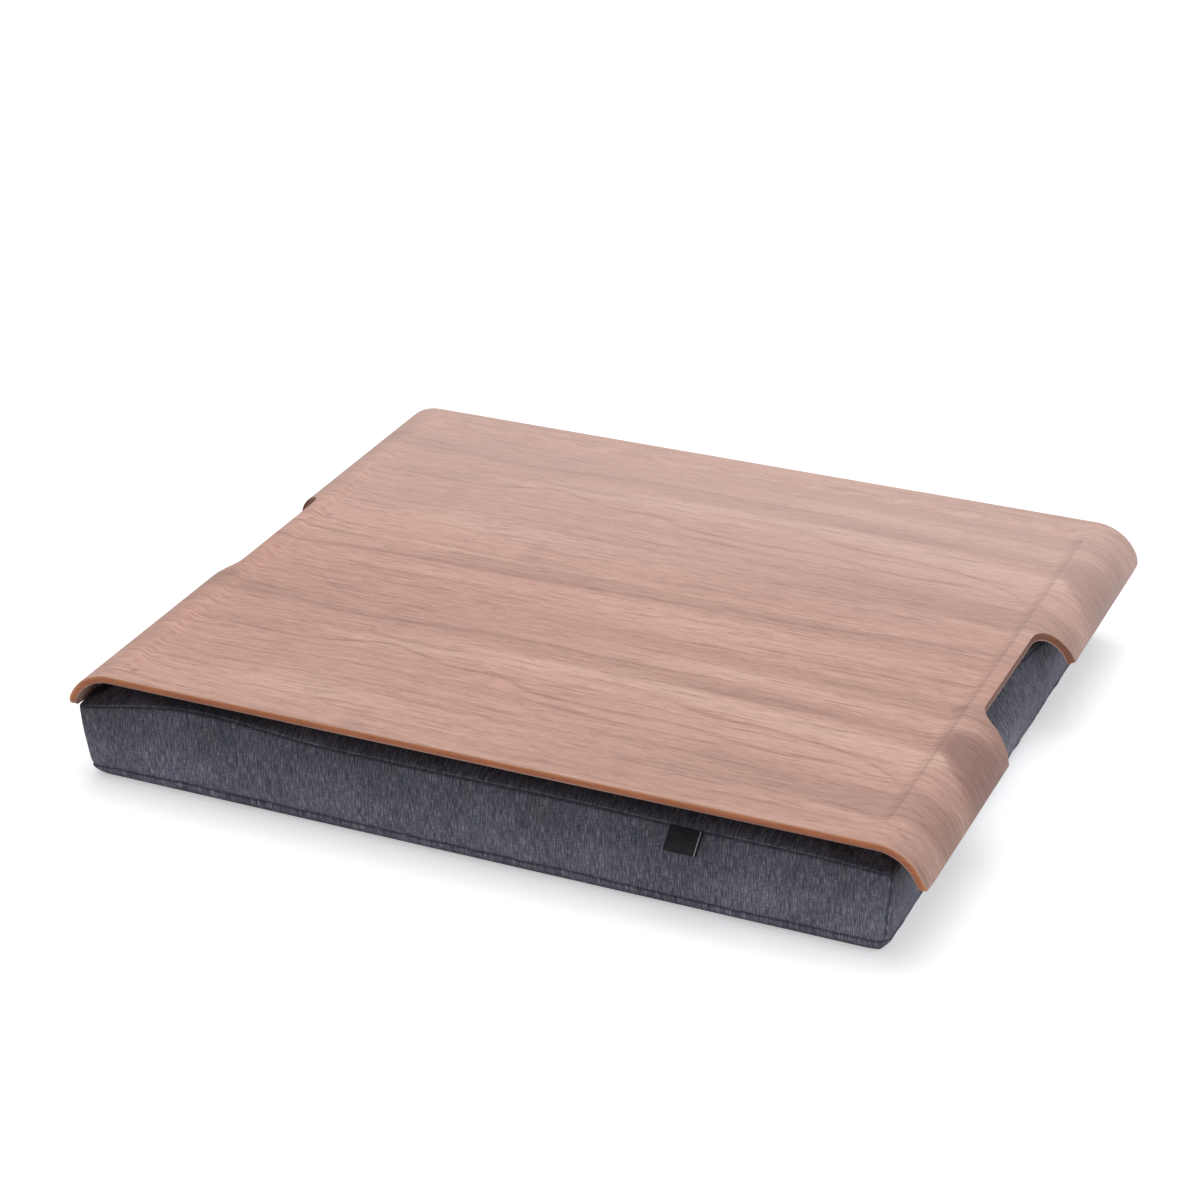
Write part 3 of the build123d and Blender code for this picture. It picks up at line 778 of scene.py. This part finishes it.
def edge_wood(name, dark, light):
    """Sanded and oiled ply edge: fine streaks that run along the layers."""
    material, tree, shader = start_material(name, 0.50, specular=0.25)
    place = object_place(tree)
    long_streaks = streaks(tree, place, (60.0, 60.0, 900.0), detail=3.0)
    pores = streaks(tree, place, (900.0, 900.0, 1500.0))
    mixed = weighted(tree, (long_streaks, 0.7), (pores, 0.3))
    colour = ramp(tree, mixed, (0.35, dark), (0.62, light))
    x, y, _ = split(tree, place)
    to_side, to_end = maths(tree, "ABSOLUTE", x), maths(tree, "ABSOLUTE", y)
    # Painted shade where the finger cuts' inner edges lie in shade.
    finger_cut_shade = times(
        tree,
        past(tree, to_side, tray_tip - FINGER_SHADE_REACH, FINGER_SHADE_SOFT, 0.0, FINGER_SHADE_SHARE),
        eased(tree, to_end, FINGER_SHADE_HALF - FINGER_SHADE_END, FINGER_SHADE_HALF, 1.0, 0.0),
    )
    # Painted shade: the straight inner edge of each finger cut is darkest, the flared ends less so.
    less = eased(tree, to_side, tray_tip - FINGER_SHADE_INNER, tray_tip - FINGER_SHADE_OUTER, 1.0, FLARE_SHARE)
    colour = mix_colour(tree, times(tree, finger_cut_shade, less), colour, FINGER_CUT_SHADE)
    tree.links.new(colour, shader.inputs["Base Color"])
    raise_surface(tree, shader, mixed, 0.0002, strength=0.5)
    return material


for node, (dark, light) in PLY_TINTS.items():
    dress(node, edge_wood(f"edge of {node}", dark, light))

# The face veneer: one sheet of walnut, grain from handle to handle, pressed over the core.
# It is rolled down at both ends, with the shallow field and the finger cuts moulded in.
WALNUT_BASE = (0.490, 0.290, 0.227, 1.0)
WALNUT_PINK = (0.520, 0.295, 0.234, 1.0)
WALNUT_LIGHT = (0.585, 0.372, 0.294, 1.0)
WALNUT_GREY = (0.395, 0.232, 0.182, 1.0)
WALNUT_LINE = (0.235, 0.135, 0.110, 1.0)
WALNUT_BROWN = (0.272, 0.152, 0.126, 1.0)
WALNUT_SHEEN = (0.610, 0.465, 0.425, 1.0)
WALNUT_RED = (0.520, 0.255, 0.175, 1.0)
FINE_DARK, FINE_LIGHT = (0.78, 0.77, 0.77, 1.0), (1.14, 1.14, 1.15, 1.0)
CREASE_SHADE = (0.260, 0.180, 0.155, 1.0)
VENEER_EDGE_DARK, VENEER_EDGE_LIGHT = (0.64, 0.340, 0.205, 1.0), (0.78, 0.440, 0.280, 1.0)
VENEER = 0.0006
BEND_RADIUS = 0.026
BEND_ANGLE = radians(72.0)
BEND_STEPS, WALL_STEPS, CORNER_STEPS, GRIP_STEPS = 20, 8, 5, 8
LIP_STRAIGHT = 0.003
LIP_CORNER = 0.005
FIELD_DEPTH = 0.0020
FIELD_WALL = 0.0050
FIELD_CORNER = 0.014
FIELD_EASE_SHARE = 0.2
FIELD_END_MARGIN = 0.013
FIELD_BEND_MARGIN = 0.0005
FIELD_INSET, STEP_ALONG, STEP_ACROSS = 0.016, 0.008, 0.006
GRIP_INNER, GRIP_MOUTH, GRIP_REACH, GRIP_ROUND = 0.096, 0.120, 0.019, 0.014
LEAF_JOINT, LEAF_SHIFT = 0.0170, 0.210
LEAF_LENGTH, LEAF_WIDTH, LEAF_EDGE = 0.50, 0.25, -0.23  # the part of the leaf where lines can be drawn
LINE_FADE = 0.02
WALL_LINE_SHARE, WALL_HALF_SHARE = 0.55, 0.75  # of the wall's run: where its middle is marked, and how wide
WALL_END = 0.001
CREASE_SHADE_INSET, CREASE_SHADE_HALF = 0.0008, 0.0014
CREASE_SHADE_END, CREASE_SHADE_FADE = 0.006, 0.012

(_, tray_front, _), (tray_end, tray_back, rim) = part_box("tray_face_veneer")
flat_half = tray_end - BEND_RADIUS * sin(BEND_ANGLE) - LIP_STRAIGHT * cos(BEND_ANGLE)
run_half = flat_half + BEND_RADIUS * BEND_ANGLE + LIP_STRAIGHT
field_half_x = flat_half - FIELD_BEND_MARGIN
field_half_y = tray_back - FIELD_END_MARGIN


def run_at(x):
    """Distance along the flattened sheet of a point on its upper face, from its place in plan."""
    over = min(1.0, (x - flat_half) / BEND_RADIUS)
    if over >= sin(BEND_ANGLE):
        return flat_half + BEND_RADIUS * BEND_ANGLE + (over - sin(BEND_ANGLE)) * BEND_RADIUS / cos(BEND_ANGLE)
    return flat_half + BEND_RADIUS * asin(over)


def field_drop(x, y):
    """How deep the pressed field lies at a place in plan, with softly rounded walls."""
    over_x = abs(x) - (field_half_x - FIELD_CORNER)
    over_y = abs(y) - (field_half_y - FIELD_CORNER)
    if over_x > 0.0 and over_y > 0.0:
        outside = sqrt(over_x**2 + over_y**2) - FIELD_CORNER
    else:
        outside = max(over_x, over_y) - FIELD_CORNER
    share = -outside / FIELD_WALL
    # A straight slope, as in the core, with both of its creases eased over a fifth of its run.
    ease = FIELD_EASE_SHARE
    if share <= -ease:
        return 0.0
    if share < ease:
        return FIELD_DEPTH * (share + ease) ** 2 / (4.0 * ease)
    if share <= 1.0 - ease:
        return FIELD_DEPTH * share
    if share < 1.0 + ease:
        return FIELD_DEPTH * (1.0 - (1.0 + ease - share) ** 2 / (4.0 * ease))
    return FIELD_DEPTH


def rolled(run, y, depth):
    """Place in the shared frame of a point on the flattened sheet, at a depth under the face."""
    side = 1.0 if run >= 0.0 else -1.0
    run = abs(run)
    if run <= flat_half:
        return Vector((side * run, y, rim - depth - field_drop(run, y)))
    turn = min(BEND_ANGLE, (run - flat_half) / BEND_RADIUS)
    rest = max(0.0, run - flat_half - BEND_RADIUS * BEND_ANGLE)
    radius = BEND_RADIUS - depth
    x = flat_half + radius * sin(turn) + rest * cos(turn)
    z = rim - BEND_RADIUS + radius * cos(turn) - rest * sin(turn)
    return Vector((side * x, y, z))


def cut_away(form, lines):
    """Cuts a hole out of a flat sheet, where the hole lies inside all of these (point, outward) lines."""
    inside = form.faces[:]
    for number, (point, outward) in enumerate(lines, start=1):
        edges = {edge for face in inside for edge in face.edges}
        verts = {vert for face in inside for vert in face.verts}
        around = inside + list(edges | verts)
        bmesh.ops.bisect_plane(form, geom=around, dist=HAIR / 10, plane_co=point, plane_no=outward)
        inside = [
            face
            for face in form.faces
            if all((face.calc_center_median() - at).dot(away) < 0.0 for at, away in lines[:number])
        ]
    bmesh.ops.delete(form, geom=inside, context="FACES")


def grip_lines(side):
    """The outline of one finger cut on the flattened sheet, as (point, outward) lines."""
    inner_x = tray_end - GRIP_REACH
    corner_turn = pi / 2 - atan((GRIP_MOUTH - GRIP_INNER) / 2 / GRIP_REACH)
    centre = Vector((inner_x + GRIP_ROUND, GRIP_INNER / 2 - GRIP_ROUND * tan(corner_turn / 2)))
    turns = [corner_turn * step / GRIP_STEPS for step in range(GRIP_STEPS + 1)]
    outline = [centre + GRIP_ROUND * Vector((-cos(turn), sin(turn))) for turn in turns]
    outline.append(Vector((tray_end, GRIP_MOUTH / 2)))
    flat = [Vector((side * run_at(point.x), point.y, 0.0)) for point in outline]
    # The straight inner edge comes first, then the round corner and the flared end on both sides of it.
    lines = [(Vector((flat[0].x, 0.0, 0.0)), Vector((-side, 0.0, 0.0)))]
    for start, end in zip(flat, flat[1:]):
        run, rise = (end - start).xy
        for across in (1, -1):
            outward = Vector((-side * rise, side * across * run, 0.0)).normalized()
            lines.append((Vector((start.x, across * start.y, 0.0)), outward))
    return lines


def leaf_place(place, face):
    """Place on the leaf that a face belongs to: along the grain and across it."""
    return place.x, place.y - (LEAF_SHIFT if face.calc_center_median().y > LEAF_JOINT else 0.0)


sheet = bmesh.new()
bmesh.ops.create_grid(sheet, x_segments=1, y_segments=1, size=0.5)
bmesh.ops.scale(sheet, vec=(2 * run_half, tray_back - tray_front, 1.0), verts=sheet.verts)
bend_places = [flat_half + BEND_RADIUS * BEND_ANGLE * number / BEND_STEPS for number in range(BEND_STEPS + 1)]
wall_insets = [FIELD_WALL * number / WALL_STEPS for number in range(-2, WALL_STEPS + 3)]
corner_insets = [FIELD_CORNER * number / CORNER_STEPS for number in range(2, CORNER_STEPS + 1)]
for side in (1, -1):
    cut_at(sheet, [side * place for place in bend_places], ALONG_X)
    cut_at(sheet, [side * (field_half_x - inset) for inset in wall_insets], ALONG_X)
    cut_at(sheet, [side * (field_half_y - inset) for inset in wall_insets + corner_insets], ALONG_Y)
    cut_at(sheet, [side * (field_half_x - inset) for inset in corner_insets], ALONG_X)
cut_at(sheet, steps_between(FIELD_INSET - field_half_x, field_half_x - FIELD_INSET, STEP_ALONG), ALONG_X)
cut_at(sheet, steps_between(FIELD_INSET - field_half_y, field_half_y - FIELD_INSET, STEP_ACROSS), ALONG_Y)
cut_at(sheet, [LEAF_JOINT], ALONG_Y)
for side in (1, -1):
    cut_away(sheet, grip_lines(side))
bmesh.ops.remove_doubles(sheet, verts=sheet.verts, dist=HAIR)
# The lip's end corners are rounded by drawing the outermost points onto an arc.
for vert in sheet.verts:
    round_corner(vert.co, (0.0, 0.0), (run_half, tray_back), LIP_CORNER)
for face in sheet.faces:
    if face.normal.z < 0.0:
        face.normal_flip()
# Two leaves cut one after the other lie side by side, so the grain of the first repeats in the second.
lay_map(sheet, leaf_place)
wall_mark = sheet.verts.layers.float.new("wall")
crease_shade_mark = sheet.verts.layers.float.new("crease_shade")
wall_line, wall_half = FIELD_WALL * WALL_LINE_SHARE, FIELD_WALL * WALL_HALF_SHARE
for vert in sheet.verts:
    x, y = vert.co.xy
    from_end, from_back = field_half_x - abs(x), field_half_y - y
    on_left = -field_half_x < x < 0.0 and abs(y) < field_half_y - WALL_END
    left_wall = near(abs(from_end - wall_line), wall_half) if on_left else 0.0
    back_wall = near(abs(from_back - wall_line), wall_half) if abs(x) < field_half_x else 0.0
    vert[wall_mark] = max(left_wall, back_wall)
    # Painted shade: a thin dark line along the field's right wall, fading out toward the front and back.
    fade = smooth_step((field_half_y - CREASE_SHADE_END - abs(y)) / CREASE_SHADE_FADE)
    vert[crease_shade_mark] = near(abs(from_end - CREASE_SHADE_INSET), CREASE_SHADE_HALF) * fade if x > 0.0 else 0.0
depth_of = {vert: 0.0 for vert in sheet.verts}
copied = bmesh.ops.duplicate(sheet, geom=sheet.verts[:] + sheet.edges[:] + sheet.faces[:])
for item in copied["geom"]:
    if isinstance(item, bmesh.types.BMFace):
        item.normal_flip()
    elif isinstance(item, bmesh.types.BMVert):
        depth_of[item] = VENEER
for vert, depth in depth_of.items():
    vert.co = rolled(vert.co.x, vert.co.y, depth)
rims = [edge for edge in sheet.edges if edge.is_boundary]
walls = bmesh.ops.bridge_loops(sheet, edges=rims)["faces"]
for face in sheet.faces:
    face.smooth = True
for face in walls:
    face.material_index = 1
    face.smooth = False
    for edge in face.edges:
        edge.smooth = False
sheet.normal_update()
bmesh.ops.recalc_face_normals(sheet, faces=sheet.faces)
tray_face = link_piece("tray_face", sheet)


def away_from_line(tree, along, across, points):
    """Distance across the grain from a line drawn through (along, across) points of the leaf."""
    drawn = [(x / LEAF_LENGTH + 0.5, (y - LEAF_EDGE) / LEAF_WIDTH) for x, y in points]
    at = maths(tree, "MULTIPLY_ADD", along, 1.0 / LEAF_LENGTH, 0.5)
    curve = add_node(tree, "ShaderNodeFloatCurve", {"Value": at})
    path = curve.mapping.curves[0]
    path.points[0].location = (0.0, drawn[0][1])
    path.points[1].location = (1.0, drawn[-1][1])
    for x, y in drawn:
        path.points.new(x, y)
    curve.mapping.update()
    centre = maths(tree, "MULTIPLY_ADD", curve.outputs["Value"], LEAF_WIDTH, LEAF_EDGE)
    return maths(tree, "SUBTRACT", across, centre)


def grown_line(tree, along, across, points, half_width):
    """How strongly one growth line shows: soft on both sides, and dying out past both of its ends."""
    away = maths(tree, "ABSOLUTE", away_from_line(tree, along, across, points))
    shown = eased(tree, away, 0.0, half_width, 1.0, 0.0)
    shown = times(tree, shown, past(tree, along, points[0][0], LINE_FADE))
    return times(tree, shown, past(tree, along, points[-1][0], LINE_FADE, 1.0, 0.0))


def spot(tree, along, across, centre, reaches):
    """0 at the middle of an oval spot on the leaf, 1 at its edge, and more outside."""
    squares = []
    for place, middle, reach in zip((along, across), centre, reaches):
        away = maths(tree, "DIVIDE", maths(tree, "SUBTRACT", place, middle), reach)
        squares.append(maths(tree, "POWER", away, 2.0))
    return maths(tree, "ADD", *squares)


# Growth lines of the leaf as (along, across) points, with half width and strength.
GROWTH_LINES = (
    (((-0.215, -0.005), (-0.158, 0.0005), (-0.077, 0.003), (-0.011, 0.0045), (0.040, 0.0065),
      (0.067, 0.0085), (0.103, 0.008), (0.143, 0.0135), (0.210, 0.0140)), 0.0034, 0.42),
    (((-0.200, -0.0695), (-0.155, -0.0695), (-0.125, -0.0725), (-0.103, -0.0715), (-0.072, -0.066),
      (-0.010, -0.066), (0.050, -0.067)), 0.0022, 0.42),
    (((-0.181, -0.032), (-0.134, -0.055), (-0.095, -0.0535), (-0.067, -0.0535),
      (-0.020, -0.045)), 0.0018, 0.30),
    (((-0.195, -0.1045), (-0.163, -0.1075), (-0.130, -0.106), (-0.090, -0.097), (-0.0705, -0.1025),
      (-0.046, -0.108), (-0.025, -0.1075), (-0.0055, -0.115), (0.0345, -0.1185), (0.091, -0.1195),
      (0.112, -0.1245), (0.165, -0.1235)), 0.0026, 0.50),
    (((0.068, -0.0975), (0.0705, -0.099), (0.1045, -0.105), (0.132, -0.107), (0.160, -0.1115),
      (0.1905, -0.1255), (0.196, -0.131)), 0.0024, 0.50),
    (((-0.190, -0.130), (-0.1515, -0.128), (-0.120, -0.124), (-0.055, -0.123), (-0.029, -0.121),
      (0.0165, -0.1265), (0.100, -0.1300)), 0.0018, 0.38),
    (((-0.190, -0.1465), (-0.143, -0.1435), (-0.111, -0.141), (-0.0255, -0.140), (0.064, -0.140),
      (0.140, -0.1440)), 0.0018, 0.36),
    (((-0.100, -0.159), (0.000, -0.157), (0.100, -0.158), (0.190, -0.164)), 0.0016, 0.24),
    (((0.1870, -0.0915), (0.1990, -0.0880)), 0.0013, 0.70),
    (((0.1990, -0.0760), (0.2055, -0.0720), (0.2120, -0.0710), (0.2245, -0.0685),
      (0.2400, -0.0610)), 0.0013, 0.65),
    (((0.1960, -0.0655), (0.2095, -0.0635), (0.2200, -0.0640), (0.2400, -0.0570)), 0.0014, 0.30),
    (((0.2010, -0.0925), (0.2070, -0.0978), (0.2135, -0.1045), (0.2225, -0.1105), (0.2280, -0.1165),
      (0.2400, -0.1210)), 0.0018, 0.50),
    (((0.1985, -0.1175), (0.2115, -0.1225), (0.2285, -0.1265), (0.2400, -0.1270)), 0.0015, 0.50),
    (((0.1965, -0.1290), (0.2100, -0.1380), (0.2235, -0.1410), (0.2400, -0.1405)), 0.0016, 0.42),
    (((0.1975, -0.1440), (0.2100, -0.1530), (0.2235, -0.1580), (0.2400, -0.1575)), 0.0016, 0.34),
    (((-0.130, -0.0900), (-0.067, -0.0925), (-0.020, -0.1000), (0.030, -0.1070)), 0.0014, 0.22),
)
# Spots as centre, and reach along and across the grain. Each stain has a strength of its own.
STAINS = (((0.032, -0.0815), (0.018, 0.0035), 0.45), ((0.083, -0.1000), (0.014, 0.0030), 0.40),
          ((-0.160, -0.1010), (0.045, 0.0050), 0.55), ((-0.100, 0.0060), (0.070, 0.0040), 0.35))
MARK_STRENGTH = 0.45
MARKS = (((0.2145, -0.1765), (0.0030, 0.0012)), ((0.2105, -0.1725), (0.0012, 0.0008)),
         ((0.2000, 0.1620 - LEAF_SHIFT), (0.0050, 0.0035)), ((-0.1960, -0.1785), (0.0022, 0.0018)))
# A pale band along the leaf, which widens as it goes and ends before the bend.
PALE_BAND = ((-0.060, -0.0885), (0.000, -0.0875), (0.030, -0.084), (0.100, -0.092), (0.155, -0.097),
             (0.212, -0.1045))
PALE_BEGINS, PALE_WIDENS, PALE_ENDS = (-0.07, -0.01), (-0.06, 0.12), (0.208, 0.214)
PALE_CORE, PALE_HALF_FROM, PALE_HALF_TO = 0.003, 0.007, 0.0125
# A dark band that runs over the right bend, and spreads out toward the lip.
DARK_BAND = ((0.190, -0.0840), (0.2005, -0.0850), (0.2070, -0.0850), (0.2135, -0.0878),
             (0.2225, -0.0895), (0.240, -0.0910))
DARK_BEGINS, DARK_WIDENS = (0.1970, 0.2090), (0.196, 0.240)
DARK_HALF_FROM, DARK_HALF_TO = 0.0100, 0.0340
BEND_SHADE_SPAN = (0.1985, 0.2220)
JOINT_SOFT, SHEEN_FROM = 0.001, -0.040
DRIFT, WAVER = 0.010, 0.0016  # how far the grain wanders over the leaf, and how far it wavers
LINE_DRIFT_SHARE = 0.35  # of that, for the drawn lines

walnut, tree, shader = start_material("walnut face", 0.46, specular=0.28)
place = sheet_place(tree)
along, drawn_across, _ = split(tree, place)
drift = maths(tree, "SUBTRACT", streaks(tree, place, (7.0, 14.0, 1.0)), 0.5)
waver = maths(tree, "SUBTRACT", streaks(tree, place, (60.0, 70.0, 1.0), detail=1.0), 0.5)
drift = weighted(tree, (drift, DRIFT), (waver, WAVER))
across = maths(tree, "ADD", drawn_across, times(tree, drift, LINE_DRIFT_SHARE))
loose = maths(tree, "ADD", drawn_across, drift)
grain = add_node(tree, "ShaderNodeCombineXYZ", {"X": along, "Y": loose}).outputs["Vector"]
broad = streaks(tree, grain, (2.6, 34.0, 1.0), detail=3.0)
hues = streaks(tree, grain, (3.0, 22.0, 1.0), shift=(9.0, 4.0, 0.0))
bands = streaks(tree, grain, (5.0, 170.0, 1.0), detail=3.0, rough=0.55, shift=(2.0, 3.0, 0.0))
flecks = streaks(tree, grain, (80.0, 560.0, 1.0), detail=3.0, rough=0.6, shift=(4.0, 1.0, 0.0))
pores = streaks(tree, grain, (240.0, 2200.0, 1.0), shift=(7.0, 5.0, 0.0))
dashes = streaks(tree, grain, (24.0, 500.0, 1.0), detail=4.0, rough=0.65, shift=(1.0, 6.0, 0.0))
colour = ramp(tree, broad, (0.34, WALNUT_GREY), (0.50, WALNUT_BASE), (0.66, WALNUT_LIGHT))
pink = ramp(tree, hues, (0.40, grey(0.0)), (0.62, grey(0.7)))
colour = mix_colour(tree, pink, colour, WALNUT_PINK)
# The pale band and the grey stains.
pale = maths(tree, "ABSOLUTE", away_from_line(tree, along, across, PALE_BAND))
pale_half = eased(tree, along, *PALE_WIDENS, PALE_HALF_FROM, PALE_HALF_TO)
pale = eased(tree, pale, PALE_CORE, pale_half, 1.0, 0.0)
pale = times(tree, pale, eased(tree, along, *PALE_BEGINS))
pale = times(tree, pale, eased(tree, along, *PALE_ENDS, 1.0, 0.0))
colour = mix_colour(tree, times(tree, pale, 0.80), colour, WALNUT_LIGHT)
for centre, reaches, strength in STAINS:
    stain = spot(tree, along, across, centre, reaches)
    colour = mix_colour(tree, eased(tree, stain, 0.1, 1.6, strength, 0.0), colour, WALNUT_GREY)
# The dark band, and painted shade over the right bend where it turns away from the light; both weaker on the
# second leaf.
dark = maths(tree, "ABSOLUTE", away_from_line(tree, along, across, DARK_BAND))
dark = maths(tree, "DIVIDE", dark, eased(tree, along, *DARK_WIDENS, DARK_HALF_FROM, DARK_HALF_TO))
dark = maths(tree, "ADD", dark, times(tree, maths(tree, "SUBTRACT", bands, 0.5), 0.9))
dark = times(tree, eased(tree, dark, 0.48, 1.22, 1.0, 0.0), eased(tree, along, *DARK_BEGINS))
deep = split(tree, object_place(tree))[1]
dark = times(tree, dark, past(tree, deep, LEAF_JOINT, JOINT_SOFT, 0.92, 0.60))
colour = mix_colour(tree, dark, colour, WALNUT_BROWN)
# Painted shade over the whole right bend, which turns away from the light.
bend_shade = eased(tree, along, *BEND_SHADE_SPAN)
bend_shade = times(tree, bend_shade, past(tree, deep, LEAF_JOINT, JOINT_SOFT, 0.30, 0.06))
colour = mix_colour(tree, bend_shade, colour, WALNUT_BROWN)
# Narrow bands of noise, and the growth lines drawn over them.
colour = mix_colour(tree, eased(tree, bands, 0.50, 0.72, 0.0, 0.34), colour, WALNUT_LINE)
broken = eased(tree, streaks(tree, grain, (22.0, 260.0, 1.0)), 0.30, 0.62, 0.35, 1.0)
for points, half_width, strength in GROWTH_LINES:
    shown = grown_line(tree, along, across, points, half_width)
    shown = times(tree, shown, times(tree, broken, strength))
    colour = mix_colour(tree, shown, colour, WALNUT_LINE)
# The field's left and back walls are painted redder, with lighter and darker streaks. Painted shade: a thin
# dark line marks its right wall, which lies in shadow.
wall = marked(tree, "wall")
wall_streaks = streaks(tree, place, (60.0, 230.0, 1.0), shift=(3.0, 8.0, 0.0))
wall_red = mix_colour(tree, eased(tree, wall_streaks, 0.40, 0.62), WALNUT_RED, WALNUT_LIGHT)
colour = mix_colour(tree, times(tree, wall, 0.45), colour, wall_red)
wall_dark = times(tree, wall, eased(tree, wall_streaks, 0.40, 0.54, 0.22, 0.0))
colour = mix_colour(tree, wall_dark, colour, WALNUT_LINE)
colour = mix_colour(tree, times(tree, marked(tree, "crease_shade"), 0.40), colour, CREASE_SHADE)
for centre, reaches in MARKS:
    mark = spot(tree, along, across, centre, reaches)
    colour = mix_colour(tree, eased(tree, mark, 0.2, 1.4, MARK_STRENGTH, 0.0), colour, WALNUT_LINE)
# Flecks, pores and short dark dashes lie over everything.
fine = weighted(tree, (flecks, 0.6), (pores, 0.4))
fine_shade = ramp(tree, fine, (0.34, FINE_DARK), (0.50, grey(1.0)), (0.66, FINE_LIGHT))
colour = mix_colour(tree, 1.0, colour, fine_shade, how="MULTIPLY")
colour = mix_colour(tree, eased(tree, dashes, 0.51, 0.66, 0.0, 0.46), colour, WALNUT_LINE)
# Painted sheen: the second leaf is painted paler and greyer toward its outer edge, at the back of the tray, as
# if the white surroundings were reflecting in it.
colour = mix_colour(tree, eased(tree, deep, SHEEN_FROM, tray_back, 0.0, 0.34), colour, WALNUT_SHEEN)
tree.links.new(colour, shader.inputs["Base Color"])
tree.links.new(eased(tree, flecks, 0.3, 0.7, 0.52, 0.40), shader.inputs["Roughness"])
raise_surface(tree, shader, fine, 0.0003, strength=0.5)
tray_face.data.materials.append(walnut)
tray_face.data.materials.append(edge_wood("edge of the face", VENEER_EDGE_DARK, VENEER_EDGE_LIGHT))
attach(tray_face, "tray")
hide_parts("tray_face_veneer")

# The back veneer: a plainer sheet of walnut, glued under the core with its grain from handle to handle.
# It is pressed and trimmed together with the core, and left satin.
back_walnut, tree, shader = start_material("walnut back", 0.5, specular=0.3)
place = object_place(tree)
bands = streaks(tree, place, (5.0, 150.0, 150.0), detail=4.0, rough=0.6)
pores = streaks(tree, place, (70.0, 2500.0, 2500.0))
colour = ramp(tree, bands, (0.35, WALNUT_BROWN), (0.65, WALNUT_BASE))
open_pores = ramp(tree, pores, (0.55, grey(0.0)), (0.72, grey(0.5)))
colour = mix_colour(tree, open_pores, colour, WALNUT_LINE)
tree.links.new(colour, shader.inputs["Base Color"])
raise_surface(tree, shader, pores, 0.0002, strength=0.4)
dress("tray_back_veneer", back_walnut)

# The stage: a white sweep under soft, even studio light, from an overhead softbox and a weak side fill.
# The camera stands where the photograph was taken from.
FOCAL_PIXELS = 3089.4
IMAGE_SIZE = 1200
AZIMUTH, ELEVATION = radians(23.518), radians(26.384)
DISTANCE = 1.6417
TARGET = Vector((-0.01211, -0.00880, rim - 0.00103))
FLOOR_HALF, FLOOR_DROP = 6.0, 0.0002
FLOOR_GLOW, GLOW_FROM, GLOW_TO = 0.42, 0.45, 1.60
SKY_TINT = (0.93, 0.965, 1.0, 1.0)
# The sky's light, the share of it at the horizon, and how high up it is full.
SKY_STRENGTH, SKY_AT_HORIZON, SKY_FULL_FROM = 0.62, 0.16, 0.55
# The lamps' names, places, sizes, watts and tints.
LAMPS = (
    ("overhead softbox", (-0.02, 0.17, 1.5), (1.6, 1.2), 17.4, (1.0, 1.0, 1.0)),
    ("side fill", (1.25, -0.20, 0.55), (1.0, 0.8), 2.4, (0.90, 0.95, 1.0)),
)

camera_data = bpy.data.cameras.new("camera")
camera_data.sensor_width = 36.0
camera_data.lens = FOCAL_PIXELS * camera_data.sensor_width / IMAGE_SIZE
camera_data.clip_start, camera_data.clip_end = 0.05, 50.0
camera = bpy.data.objects.new("camera", camera_data)
bpy.context.scene.collection.objects.link(camera)
bpy.context.scene.camera = camera
toward = Vector((sin(AZIMUTH) * cos(ELEVATION), -cos(AZIMUTH) * cos(ELEVATION), sin(ELEVATION)))
level = Vector((0, 0, 1)).cross(toward).normalized()
upright = toward.cross(level)
turn = Matrix((level, upright, toward)).transposed().to_4x4()
camera.matrix_world = Matrix.Translation(TARGET + DISTANCE * toward) @ turn

ground = bmesh.new()
bmesh.ops.create_grid(ground, x_segments=1, y_segments=1, size=FLOOR_HALF)
bmesh.ops.translate(ground, vec=(0.0, 0.0, -FLOOR_DROP), verts=ground.verts)
floor = link_piece("floor", ground)
floor_white, tree, shader = start_material("studio floor", 0.9, specular=0.0)
shader.inputs["Base Color"].default_value = grey(0.80)
# Away from the object the sweep is seen as plain white, so that no horizon shows from a low angle.
away = add_node(tree, "ShaderNodeVectorMath", {0: object_place(tree)}, operation="LENGTH").outputs["Value"]
brightness = eased(tree, away, GLOW_FROM, GLOW_TO, FLOOR_GLOW, 1.0)
glow = add_node(tree, "ShaderNodeEmission", {"Color": grey(1.0), "Strength": brightness})
seen = add_node(tree, "ShaderNodeLightPath").outputs["Is Camera Ray"]
nothing = add_node(tree, "ShaderNodeEmission", {"Color": grey(0.0), "Strength": 0.0})
glow_seen = add_node(tree, "ShaderNodeMixShader", {0: seen, 1: nothing.outputs[0], 2: glow.outputs[0]})
both = add_node(tree, "ShaderNodeAddShader", {0: shader.outputs[0], 1: glow_seen.outputs[0]})
tree.links.new(both.outputs[0], tree.nodes["Material Output"].inputs["Surface"])
floor.data.materials.append(floor_white)

world = bpy.data.worlds.new("studio")
bpy.context.scene.world = world
world.use_nodes = True
tree = world.node_tree
sky = tree.nodes["Background"]
seen = add_node(tree, "ShaderNodeLightPath").outputs["Is Camera Ray"]
tree.links.new(mix_colour(tree, seen, SKY_TINT, grey(1.0)), sky.inputs["Color"])
upward = split(tree, add_node(tree, "ShaderNodeTexCoord").outputs["Generated"])[2]
light = eased(tree, upward, 0.0, SKY_FULL_FROM, SKY_STRENGTH * SKY_AT_HORIZON, SKY_STRENGTH)
tree.links.new(maths(tree, "MAXIMUM", seen, light), sky.inputs["Strength"])

for name, place, (width, depth), watts, tint in LAMPS:
    lamp_data = bpy.data.lights.new(name, "AREA")
    lamp_data.shape = "RECTANGLE"
    lamp_data.size, lamp_data.size_y = width, depth
    lamp_data.energy = watts
    lamp_data.color = tint
    lamp = bpy.data.objects.new(name, lamp_data)
    lamp.location = place
    lamp.rotation_euler = (-lamp.location).to_track_quat("-Z", "Y").to_euler()
    bpy.context.scene.collection.objects.link(lamp)
bpy.context.scene.view_settings.view_transform = "Standard"
